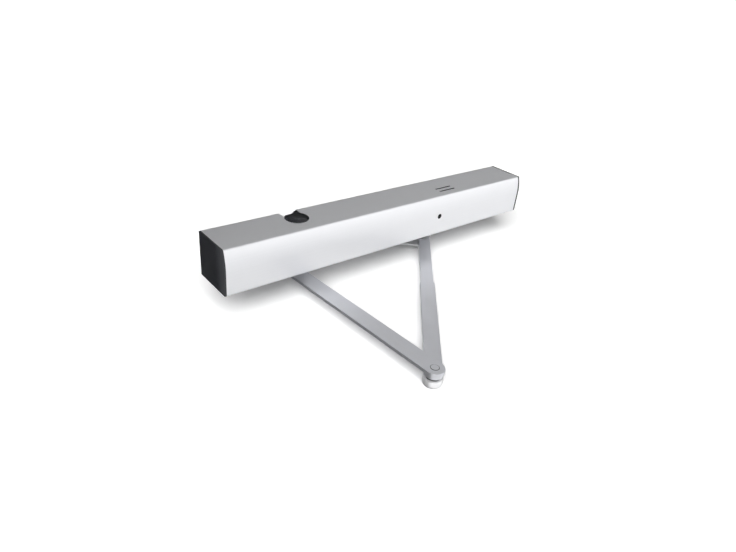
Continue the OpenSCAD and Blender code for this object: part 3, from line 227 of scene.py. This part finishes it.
def skin_group():
    """Pebbled skin of moulded plastic, powder paint or a casting."""
    tree, given, result = new_group("pebbled_skin", {"Scale": 1500.0, "Coarse": 0.25}, ("Height",))
    pebbles = node(tree, "ShaderNodeTexVoronoi", feature="SMOOTH_F1")
    feed(tree, given["Vector"], pebbles.inputs["Vector"])
    feed(tree, given["Scale"], pebbles.inputs["Scale"])
    waves = noise(tree, given["Vector"], product(tree, given["Scale"], given["Coarse"]), detail=4.0)
    feed(tree, math_node(tree, "ADD", pebbles.outputs["Distance"], waves), result["Height"])
    return tree


def wear_group():
    """Mask of worn edges: where the surface bends within a small radius, broken up by noise."""
    tree, given, result = new_group("edge_wear", {"Scale": 220.0, "Amount": 0.5}, ("Mask",))
    rounded = node(tree, "ShaderNodeBevel", samples=4)
    rounded.inputs["Radius"].default_value = EDGE_RADIUS
    geometry = node(tree, "ShaderNodeNewGeometry")
    agreement = vector_node(tree, "DOT_PRODUCT", rounded.outputs[0], geometry.outputs["Normal"])
    bend = math_node(tree, "SUBTRACT", 1.0, agreement)
    edges = math_node(tree, "MULTIPLY", bend, EDGE_CONTRAST, clamp=True)
    uneven = noise(tree, given["Vector"], given["Scale"], detail=5.0)
    patches = math_node(tree, "SUBTRACT", uneven, PATCH_START)
    patches = math_node(tree, "MULTIPLY", patches, PATCH_CONTRAST, clamp=True)
    worn = product(tree, edges, patches)
    feed(tree, math_node(tree, "MULTIPLY", worn, given["Amount"], clamp=True), result["Mask"])
    return tree


def film_group():
    """Faint uneven film of dust and handling that clouds colour and gloss over broad areas."""
    tree, given, result = new_group("handling_film", {"Scale": 14.0}, ("Cloud",))
    feed(tree, noise(tree, given["Vector"], given["Scale"], detail=6.0, roughness=0.6), result["Cloud"])
    return tree


GRAIN = grain_group()
SKIN = skin_group()
WEAR = wear_group()
FILM = film_group()


def use_group(tree, group, coordinates, **values):
    made = node(tree, "ShaderNodeGroup", node_tree=group)
    feed(tree, coordinates, made.inputs["Vector"])
    for label, value in values.items():
        made.inputs[label].default_value = value
    return made.outputs


# Dark joints and painted shade

# The reach of a shape is a number that is under 1 inside it and 1 or more outside it
def box_reach(tree, offset, half):
    parts = parts_of(tree, vector_node(tree, "ABSOLUTE", vector_node(tree, "DIVIDE", offset, half)))
    return math_node(tree, "MAXIMUM", math_node(tree, "MAXIMUM", parts["X"], parts["Y"]), parts["Z"])


def ball_reach(tree, offset, radius):
    return vector_node(tree, "LENGTH", vector_node(tree, "DIVIDE", offset, (radius, radius, radius)))


def ring_reach(tree, offset, sizes):
    """A level ring, by its outer radius, its inner radius and half its height."""
    outer, inner, half_height = sizes
    flat = vector_node(tree, "MULTIPLY", offset, (1 / outer, 1 / outer, 0.0))
    from_axis = vector_node(tree, "LENGTH", flat)
    from_middle = parts_of(tree, vector_node(tree, "ABSOLUTE", offset))["Z"]
    reach = math_node(tree, "MAXIMUM", from_axis, math_node(tree, "DIVIDE", from_middle, half_height))
    return math_node(tree, "ADD", reach, math_node(tree, "LESS_THAN", from_axis, inner / outer))


def marked(tree, coordinates, places):
    """Mask of the dark joints and painted shade, each place given by the reach of its shape, its centre and
    its sizes.
    """
    mask = None
    for shape_reach, centre, sizes in places:
        reach = shape_reach(tree, vector_node(tree, "SUBTRACT", coordinates, centre), sizes)
        inside = math_node(tree, "LESS_THAN", reach, 1.0)
        mask = inside if mask is None else math_node(tree, "MAXIMUM", mask, inside)
    return mask


# Finishes

NOISE_SPAN = (0.3, 0.7)            # where nearly all of a noise lies
STREAK_SHARE = 0.5                 # how much of a streaked colour is streaks, the rest is film
STREAK_GLOSS = 0.04
COAT_ROUGHNESS = 0.12
# Colour and specular level of dark joints and of painted shade
JOINT_AND_SHADE_COLOUR = (0.01, 0.01, 0.011)
PLAIN_SPECULAR = 0.5
JOINT_AND_SHADE_SPECULAR = 0.1
WORN_METAL = (0.86, 0.87, 0.88)
WORN_PLASTIC = (0.20, 0.20, 0.21)


def swollen(tree, coordinates, origin, slope, lowest, highest):
    """Surface normal that leans more and more away from the origin, as on a domed or cushioned face."""
    lean = vector_node(tree, "SUBTRACT", coordinates, origin)
    lean = vector_node(tree, "MULTIPLY", lean, slope)
    lean = vector_node(tree, "MAXIMUM", lean, lowest)
    lean = vector_node(tree, "MINIMUM", lean, highest)
    turned = node(
        tree, "ShaderNodeVectorTransform", vector_type="VECTOR", convert_from="OBJECT", convert_to="WORLD")
    feed(tree, lean, turned.inputs[0])
    normal = node(tree, "ShaderNodeNewGeometry").outputs["Normal"]
    return vector_node(tree, "NORMALIZE", vector_node(tree, "ADD", normal, turned.outputs[0]))


def bumped(tree, normal, heights):
    """The normal after a bump for each of the heights, which come with their depths in millimetres."""
    for height, depth in heights:
        bump = node(tree, "ShaderNodeBump")
        bump.inputs["Distance"].default_value = depth * MM
        bump.inputs["Strength"].default_value = 1.0
        feed(tree, height, bump.inputs["Height"])
        if normal:
            feed(tree, normal, bump.inputs["Normal"])
        normal = bump.outputs["Normal"]
    return normal


def finish_material(name, colour, roughness, metallic=0.0, cloudy=0.05, gloss_vary=0.06, coat=0.0,
                    transmission=0.0, ior=1.5, grain=None, skin=None, wear=None, swell=None, dark=None):
    """One surface finish. grain is (across, along, depth in mm), skin is (scale, coarse, depth in mm) and
    wear is (amount, colour). swell is (origin, slope per metre, lowest, highest) of a face that is slightly
    domed or cushioned. dark lists the places painted dark: dark joints, and painted shade at the rims of
    openings and at seams."""
    made = bpy.data.materials.new(name)
    made.use_nodes = True
    tree = made.node_tree
    shader = tree.nodes["Principled BSDF"].inputs
    shader["Metallic"].default_value = metallic
    shader["IOR"].default_value = ior
    shader["Coat Weight"].default_value = coat
    shader["Coat Roughness"].default_value = COAT_ROUGHNESS
    shader["Transmission Weight"].default_value = transmission
    coordinates = node(tree, "ShaderNodeTexCoord").outputs["Object"]
    film = use_group(tree, FILM, coordinates)["Cloud"]
    darker = tuple(v * (1 - cloudy) for v in colour)
    lighter = tuple(min(1.0, v * (1 + cloudy)) for v in colour)
    surface_colour = mix_colour(tree, map_range(tree, film, *NOISE_SPAN, 0.0, 1.0), darker, lighter)
    surface_gloss = map_range(tree, film, *NOISE_SPAN, roughness - gloss_vary, roughness + gloss_vary)
    heights = []
    if grain:
        across, along, depth = grain
        lines = use_group(tree, GRAIN, coordinates, Across=across, Along=along)
        heights.append((lines["Height"], depth))
        streaks = map_range(tree, lines["Streak"], *NOISE_SPAN, 0.0, 1.0)
        streaked = mix_colour(tree, streaks, darker, lighter)
        surface_colour = mix_colour(tree, STREAK_SHARE, surface_colour, streaked)
        streak_gloss = map_range(tree, lines["Streak"], *NOISE_SPAN, -STREAK_GLOSS, STREAK_GLOSS)
        surface_gloss = math_node(tree, "ADD", surface_gloss, streak_gloss)
    if skin:
        scale, coarse, depth = skin
        heights.append((use_group(tree, SKIN, coordinates, Scale=scale, Coarse=coarse)["Height"], depth))
    if wear:
        amount, bare = wear
        mask = use_group(tree, WEAR, coordinates, Amount=amount)["Mask"]
        surface_colour = mix_colour(tree, mask, surface_colour, bare)
    # Painted shade at the rims of openings and at seams, and dark joints: black, not metallic and less
    # specular
    if dark:
        mask = marked(tree, coordinates, dark)
        surface_colour = mix_colour(tree, mask, surface_colour, JOINT_AND_SHADE_COLOUR)
        feed(tree, blend_values(tree, mask, metallic, 0.0), shader["Metallic"])
        feed(tree, blend_values(tree, mask, PLAIN_SPECULAR, JOINT_AND_SHADE_SPECULAR), shader["Specular IOR Level"])
    feed(tree, surface_colour, shader["Base Color"])
    feed(tree, surface_gloss, shader["Roughness"])
    normal = bumped(tree, swollen(tree, coordinates, *swell) if swell else None, heights)
    if normal:
        feed(tree, normal, shader["Normal"])
    return made


# Painted dark on the hood: the joint at its right end, with the shade of the gap before the cap painted in,
# and painted shade on the rims of its two vents and of the indicator
JOINT_HALF_WIDTH = 2 * MM
ALL_ROUND = 1.0
VENT_X = 140 * MM
VENT_ROWS = (-43 * MM, -55 * MM)
VENT_HALF_SIZES = (20.2 * MM, 1.7 * MM, 4 * MM)
LENS_RIM = 0.4 * MM


def hood_joint_and_painted_shade():
    hood_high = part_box("hood")[1]
    lens_low, lens_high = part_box("status_window")
    lens_radius = (lens_high.x - lens_low.x) / 2
    places = [(box_reach, (hood_high.x, 0.0, 0.0), (JOINT_HALF_WIDTH, ALL_ROUND, ALL_ROUND))]
    # Painted shade on the top and the walls around each vent
    for y in VENT_ROWS:
        places.append((box_reach, (VENT_X, y, hood_high.z), VENT_HALF_SIZES))
    # Painted shade on the rim around the indicator's hole
    places.append((ball_reach, tuple((lens_low + lens_high) / 2), lens_radius + LENS_RIM))
    return places


# A dark seam line around the head of the elbow's pin, with the shade at the head's edge painted along it
PIN_HEAD_RADIUS = 6 * MM
PIN_HEAD_HEIGHT = 0.7 * MM
PIN_LINE_OUTSIDE = 0.7 * MM
PIN_LINE_INSIDE = 0.3 * MM
PIN_LINE_HALF_HEIGHT = 0.4 * MM


def pin_seam_and_painted_shade():
    low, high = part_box("elbow_pin")
    seat = ((low.x + high.x) / 2, (low.y + high.y) / 2, high.z - PIN_HEAD_HEIGHT)
    sizes = (PIN_HEAD_RADIUS + PIN_LINE_OUTSIDE, PIN_HEAD_RADIUS - PIN_LINE_INSIDE, PIN_LINE_HALF_HEIGHT)
    return [(ring_reach, seat, sizes)]


# How far the normals lean at the edge of the round cover and at the front of the left end cap
COVER_LEAN = 0.8
CAP_LEAN = 1.3
CAP_CUSHION_DEPTH = 28 * MM


def cover_dome():
    low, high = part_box("spindle_cover")
    radius = (high.x - low.x) / 2
    slope = COVER_LEAN / radius
    return (
        (low.x + radius, low.y + radius, 0.0),
        (slope, slope, 0.0),
        (-COVER_LEAN, -COVER_LEAN, 0.0),
        (COVER_LEAN, COVER_LEAN, 0.0),
    )


def cap_cushion():
    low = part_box("left_end_cap")[0]
    return (
        (0.0, low.y + CAP_CUSHION_DEPTH, 0.0),
        (0.0, CAP_LEAN / CAP_CUSHION_DEPTH, 0.0),
        (0.0, -CAP_LEAN, 0.0),
        (0.0, 0.0, 0.0),
    )


MATERIALS = {
    # Hood, caps and plate
    "hood_silver": finish_material(
        "anodised_hood", (0.825, 0.832, 0.853), metallic=0.85, roughness=0.42, cloudy=0.02, gloss_vary=0.03,
        grain=(2600.0, 9.0, 0.006), wear=(0.35, WORN_METAL), dark=hood_joint_and_painted_shade()),
    "plate_steel": finish_material(
        "zinc_plate", (0.64, 0.65, 0.66), metallic=0.5, roughness=0.42, cloudy=0.12,
        grain=(900.0, 60.0, 0.01), wear=(0.3, WORN_METAL)),
    "cap_black": finish_material(
        "grained_end_cap", (0.021, 0.022, 0.026), roughness=0.42, cloudy=0.15,
        skin=(1400.0, 0.3, 0.03), wear=(0.25, WORN_PLASTIC), swell=cap_cushion()),
    "cover_black": finish_material(
        "moulded_cover", (0.015, 0.016, 0.019), roughness=0.26, cloudy=0.1,
        skin=(1800.0, 0.3, 0.02), wear=(0.3, WORN_PLASTIC), swell=cover_dome()),
    "lens_dark": finish_material(
        "dark_lens", (0.004, 0.004, 0.005), roughness=0.3, gloss_vary=0.03, ior=1.25),
    # Screws, body and gears
    "screw_steel": finish_material(
        "plated_screws", (0.55, 0.56, 0.58), metallic=0.95, roughness=0.3, cloudy=0.1,
        grain=(2500.0, 900.0, 0.004), wear=(0.3, WORN_METAL)),
    "cast_metal": finish_material(
        "cast_body", (0.5, 0.51, 0.52), metallic=0.7, roughness=0.55, cloudy=0.1,
        skin=(700.0, 0.2, 0.12)),
    "machined_steel": finish_material(
        "machined_steel", (0.56, 0.57, 0.58), metallic=0.95, roughness=0.28, cloudy=0.06,
        grain=(2200.0, 1200.0, 0.004)),
    "bearing_steel": finish_material(
        "bearing_steel", (0.72, 0.73, 0.74), metallic=1.0, roughness=0.16, gloss_vary=0.04,
        grain=(3000.0, 1500.0, 0.002)),
    "seal_rubber": finish_material(
        "seal_rubber", (0.02, 0.02, 0.02), roughness=0.6,
        skin=(2500.0, 0.3, 0.02)),
    "ring_dark": finish_material(
        "piston_ring_polymer", (0.05, 0.05, 0.05), roughness=0.45,
        skin=(2500.0, 0.3, 0.01)),
    "brass": finish_material(
        "turned_brass", (0.72, 0.52, 0.24), metallic=1.0, roughness=0.28,
        grain=(2600.0, 1400.0, 0.004)),
    "spring_steel": finish_material(
        "oiled_spring", (0.16, 0.17, 0.18), metallic=0.85, roughness=0.35, cloudy=0.15,
        skin=(1800.0, 0.3, 0.02)),
    # Motor
    "motor_black": finish_material(
        "painted_can", (0.03, 0.03, 0.033), metallic=0.2, roughness=0.35,
        skin=(900.0, 0.3, 0.03)),
    "magnet_grey": finish_material(
        "ferrite", (0.08, 0.08, 0.085), metallic=0.1, roughness=0.6, cloudy=0.2,
        skin=(2000.0, 0.3, 0.03)),
    "bell_plastic": finish_material(
        "tray_plastic", (0.035, 0.035, 0.04), roughness=0.5,
        skin=(1200.0, 0.3, 0.03)),
    "rotor_copper": finish_material(
        "wound_rotor", (0.5, 0.32, 0.2), metallic=0.8, roughness=0.4, cloudy=0.2,
        grain=(2400.0, 300.0, 0.03)),
    # Control unit and supply
    "board_green": finish_material(
        "lacquered_board", (0.02, 0.13, 0.06), roughness=0.3, coat=0.4,
        skin=(900.0, 0.5, 0.01)),
    "terminal_green": finish_material(
        "terminal_plastic", (0.04, 0.28, 0.11), roughness=0.45,
        skin=(1500.0, 0.3, 0.02)),
    "relay_blue": finish_material(
        "relay_case", (0.03, 0.08, 0.32), roughness=0.3,
        skin=(1500.0, 0.3, 0.01)),
    "capacitor_black": finish_material(
        "capacitor_sleeve", (0.03, 0.03, 0.07), roughness=0.25, coat=0.3,
        skin=(700.0, 0.3, 0.01)),
    "light_clear": finish_material(
        "light_guide", (0.85, 0.87, 0.88), roughness=0.15, gloss_vary=0.03, transmission=0.7, ior=1.49),
    "core_steel": finish_material(
        "varnished_core", (0.13, 0.13, 0.14), metallic=0.5, roughness=0.45, cloudy=0.15,
        grain=(60.0, 2000.0, 0.05)),
    "coil_copper": finish_material(
        "enamelled_coil", (0.55, 0.28, 0.12), metallic=0.7, roughness=0.35, cloudy=0.15,
        grain=(1500.0, 40.0, 0.08)),
    "terminal_white": finish_material(
        "mains_block", (0.75, 0.75, 0.72), roughness=0.45,
        skin=(1500.0, 0.3, 0.02)),
    # Arm and shoe
    "arm_silver": finish_material(
        "silver_arm", (0.77, 0.78, 0.82), metallic=0.8, roughness=0.36, cloudy=0.04,
        skin=(1600.0, 0.3, 0.015), wear=(0.5, WORN_METAL), dark=pin_seam_and_painted_shade()),
    "stub_steel": finish_material(
        "turned_stub", (0.34, 0.35, 0.36), metallic=0.9, roughness=0.34, cloudy=0.1,
        grain=(60.0, 60.0, 0.01), wear=(0.3, WORN_METAL)),
    "foot_bright": finish_material(
        "nickel_foot", (0.93, 0.93, 0.94), metallic=0.7, roughness=0.34, cloudy=0.03, gloss_vary=0.04,
        skin=(900.0, 0.3, 0.004), wear=(0.2, WORN_METAL)),
    "washer_dark": finish_material(
        "dark_washer", (0.03, 0.03, 0.032), roughness=0.5,
        skin=(2000.0, 0.3, 0.02)),
    "shoe_grey": finish_material(
        "painted_shoe", (0.55, 0.56, 0.57), metallic=0.5, roughness=0.42, cloudy=0.08,
        skin=(1200.0, 0.3, 0.03), wear=(0.4, WORN_METAL)),
}


# Dressing the CAD nodes

NODE_SLOT = {row["node"]: row["material_slot"] for row in frame["record"]["subparts"]}
NODE_BODY = {name: body for body, names in frame["record"]["behaviour"]["bodies"].items() for name in names}
MERGE_DISTANCE = 0.004 * MM
FLAT_ANGLE = math.radians(0.3)
SHARP_ANGLE = math.radians(35.0)
BEVEL_SEGMENTS = 2

# Edge radius in millimetres of each node that shows. Where it is 0 the edges stay as they are
DRESSED = {
    "hood": 0.25, "left_end_cap": 0.0, "right_end_cap": 0.0, "spindle_cover": 0.2, "status_window": 0.25,
    "mounting_plate": 0.3, "hood_screws": 0.15, "body_screws": 0.1,
    "spindle_extension": 0.4, "main_arm": 0.5, "arm_washer": 0.2, "arm_screw": 0.3,
    "elbow_pin": 0.0, "elbow_washer": 0.2, "elbow_foot": 0.0, "elbow_eye": 0.3, "elbow_bush": 0.1,
    "forearm_channel": 0.2, "forearm_rivets": 0.2, "forearm_bar": 0.4, "bar_clamp": 0.2,
    "door_shoe": 0.4, "shoe_bush": 0.1, "shoe_pin": 0.3,
}


def set_material(piece, slot):
    piece.data.materials.clear()
    piece.data.materials.append(MATERIALS[slot])


def round_edges(piece, radius):
    bevel = piece.modifiers.new("edge", "BEVEL")
    bevel.width = radius
    bevel.segments = BEVEL_SEGMENTS
    bevel.limit_method = "ANGLE"
    bevel.angle_limit = SHARP_ANGLE
    bevel.harden_normals = True
    bevel.use_clamp_overlap = True


def dress(name, edge):
    """Replaces a CAD node by a merged, smoothly shaded copy with a small bevel on its sharp edges."""
    source = frame["nodes"][name]
    mesh = source.data.copy()
    shape = bmesh.new()
    shape.from_mesh(mesh)
    bmesh.ops.remove_doubles(shape, verts=shape.verts, dist=MERGE_DISTANCE)
    bmesh.ops.dissolve_limit(shape, angle_limit=FLAT_ANGLE, verts=shape.verts, edges=shape.edges)
    shape.to_mesh(mesh)
    shape.free()
    mesh.shade_smooth()
    mesh.set_sharp_from_angle(angle=SHARP_ANGLE)
    piece = bpy.data.objects.new(name + "_finished", mesh)
    scene.collection.objects.link(piece)
    set_material(piece, NODE_SLOT[name])
    if edge > 0:
        round_edges(piece, edge * MM)
    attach(piece, NODE_BODY[name])
    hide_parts(name)
    return piece


def dress_spring():
    """Dresses the closing spring and gives the copy a mesh of its own."""
    piece = dress("closing_spring", 0.0)
    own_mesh(piece)


for name, source in frame["nodes"].items():
    if name in DRESSED:
        dress(name, DRESSED[name])
    else:
        set_material(source, NODE_SLOT[name])

dress_spring()


# Floor

FLOOR_Z = cad_low.z
FLOOR_SIZE = 40.0
FLOOR_WHITE = 0.8       # what the floor gives back to everything but the camera
FLOOR_SHOWN = 1.16      # what it gives back to the camera, so that open floor is white


def floor_material():
    """White to the camera, a little less to matt surfaces, and not there for glossy ones."""
    made = bpy.data.materials.new("white_floor")
    made.use_nodes = True
    tree = made.node_tree
    tree.nodes.remove(tree.nodes["Principled BSDF"])
    ray = node(tree, "ShaderNodeLightPath").outputs
    diffuse = node(tree, "ShaderNodeBsdfDiffuse")
    shown = map_range(tree, ray["Is Camera Ray"], 0.0, 1.0, FLOOR_WHITE, FLOOR_SHOWN)
    feed(tree, shown, diffuse.inputs["Color"])
    both = node(tree, "ShaderNodeMixShader")
    feed(tree, ray["Is Glossy Ray"], both.inputs["Fac"])
    feed(tree, diffuse.outputs[0], both.inputs[1])
    feed(tree, node(tree, "ShaderNodeBsdfTransparent").outputs[0], both.inputs[2])
    feed(tree, both.outputs[0], tree.nodes["Material Output"].inputs["Surface"])
    return made


def make_floor():
    mesh = bpy.data.meshes.new("floor")
    shape = bmesh.new()
    bmesh.ops.create_grid(shape, x_segments=1, y_segments=1, size=FLOOR_SIZE)
    bmesh.ops.translate(shape, verts=shape.verts, vec=(0, 0, FLOOR_Z))
    shape.to_mesh(mesh)
    shape.free()
    floor = bpy.data.objects.new("floor", mesh)
    scene.collection.objects.link(floor)
    mesh.materials.append(floor_material())


# World

# Places are parts of the direction looked in: X to the right, Y to the back and Z up, each from -1 to 1.
# A name that ends in FADE is the range of such a part over which one level or share goes over into another.
FRONT_LEVELS = (0.87, 1.07)     # what glossy surfaces see in front: low down, and further up
FRONT_FADE = (-0.70, -0.47)
BAND_LEVEL = 0.7                # what a band above the horizon adds
BAND_RISE_FADE = (0.0, 0.22)
BAND_FALL_FADE = (0.25, 0.42)
ABOVE_SHARE = 0.80              # share that is left of the front higher up
ABOVE_FADE = (0.3, 0.5)
UNDER_SHARE = 0.15              # straight below
UNDER_FADE = (-0.95, -0.68)
LEFT_SHARE = 0.84               # and everywhere but on the right
LEFT_FADE = (0.25, 0.5)

BACK_LEVELS = (0.05, 0.47)      # what glossy surfaces see behind: level, and overhead
BACK_FADE = (-0.1, 0.7)
BACK_MIDDLE_SHARE = 0.8         # share that is left of it straight behind
BACK_MIDDLE_FADE = (0.6, 0.9)
BACK_LEFT_SHARE = 0.45          # and everywhere but on the right
BACK_LEFT_FADE = (0.05, 0.5)
LOW_LEVELS = (0.0, 0.5)         # what is added below the horizon: on the left, and on the right
LOW_SIDE_FADE = (-0.3, 0.15)
LOW_FADE = (-0.3, -0.1)
BEHIND_FADE = (-0.45, -0.05)    # where the front goes over into the back

AMBIENT = (0.30, 0.10)          # what lights matt surfaces: from the front and from behind
STRIP_LEVEL = 6.2               # and from a wide strip of light above the front
STRIP_RISE = (25, 45)           # degrees from the front horizon over which the strip begins
STRIP_FALL = (52, 105)          # and ends, beyond the zenith
STRIP_MIDDLE = -0.45            # its middle from side to side
STRIP_END_FADE = (0.25, 0.5)    # distance from its middle over which it ends on both sides


def rise(tree, value, fade, low, high):
    return map_range(tree, value, *fade, low, high, interpolation="SMOOTHSTEP")


def mirrored_front(tree, direction):
    band = product(
        tree,
        rise(tree, direction["Z"], BAND_RISE_FADE, 0.0, BAND_LEVEL),
        rise(tree, direction["Z"], BAND_FALL_FADE, 1.0, 0.0),
    )
    return product(
        tree,
        math_node(tree, "ADD", rise(tree, direction["Z"], FRONT_FADE, *FRONT_LEVELS), band),
        rise(tree, direction["Z"], ABOVE_FADE, 1.0, ABOVE_SHARE),
        rise(tree, direction["Z"], UNDER_FADE, UNDER_SHARE, 1.0),
        rise(tree, direction["X"], LEFT_FADE, LEFT_SHARE, 1.0),
    )


def mirrored_back(tree, direction):
    back = product(
        tree,
        rise(tree, direction["Z"], BACK_FADE, *BACK_LEVELS),
        rise(tree, direction["Y"], BACK_MIDDLE_FADE, 1.0, BACK_MIDDLE_SHARE),
        rise(tree, direction["X"], BACK_LEFT_FADE, BACK_LEFT_SHARE, 1.0),
    )
    low = product(
        tree,
        rise(tree, direction["X"], LOW_SIDE_FADE, *LOW_LEVELS),
        rise(tree, direction["Z"], LOW_FADE, 1.0, 0.0),
    )
    return math_node(tree, "ADD", back, low)


def light_strip(tree, direction):
    """A strip of light that runs from side to side and lies between two angles up from the front horizon."""
    around = vector_node(tree, "NORMALIZE", joined(tree, 0.0, direction["Y"], direction["Z"]))
    angle_y = parts_of(tree, around)["Y"]      # minus the cosine of the angle up from the front horizon
    rise_fade = [-math.cos(math.radians(v)) for v in STRIP_RISE]
    fall_fade = [-math.cos(math.radians(v)) for v in STRIP_FALL]
    sideways = math_node(tree, "ABSOLUTE", math_node(tree, "SUBTRACT", direction["X"], STRIP_MIDDLE))
    return product(
        tree,
        rise(tree, angle_y, rise_fade, 0.0, STRIP_LEVEL),
        rise(tree, angle_y, fall_fade, 1.0, 0.0),
        rise(tree, sideways, STRIP_END_FADE, 1.0, 0.0),
        math_node(tree, "GREATER_THAN", direction["Z"], 0.0),
    )


def make_world():
    """White to the camera, a bright front and a dim back to glossy surfaces, and to matt ones soft light
    with a strip above the front."""
    world = bpy.data.worlds.new("studio")
    world.use_nodes = True
    world.cycles.sampling_method = "NONE"
    scene.world = world
    tree = world.node_tree
    background = tree.nodes["Background"]
    background.inputs["Color"].default_value = (1, 1, 1, 1)
    direction = parts_of(tree, node(tree, "ShaderNodeTexCoord").outputs["Generated"])
    behind = rise(tree, direction["Y"], BEHIND_FADE, 0.0, 1.0)
    mirrored = blend_values(tree, behind, mirrored_front(tree, direction), mirrored_back(tree, direction))
    ambient = math_node(tree, "ADD", blend_values(tree, behind, *AMBIENT), light_strip(tree, direction))
    ray = node(tree, "ShaderNodeLightPath").outputs
    lit = blend_values(tree, ray["Is Diffuse Ray"], mirrored, ambient)
    feed(tree, blend_values(tree, ray["Is Camera Ray"], lit, 1.0), background.inputs["Strength"])


make_floor()
make_world()
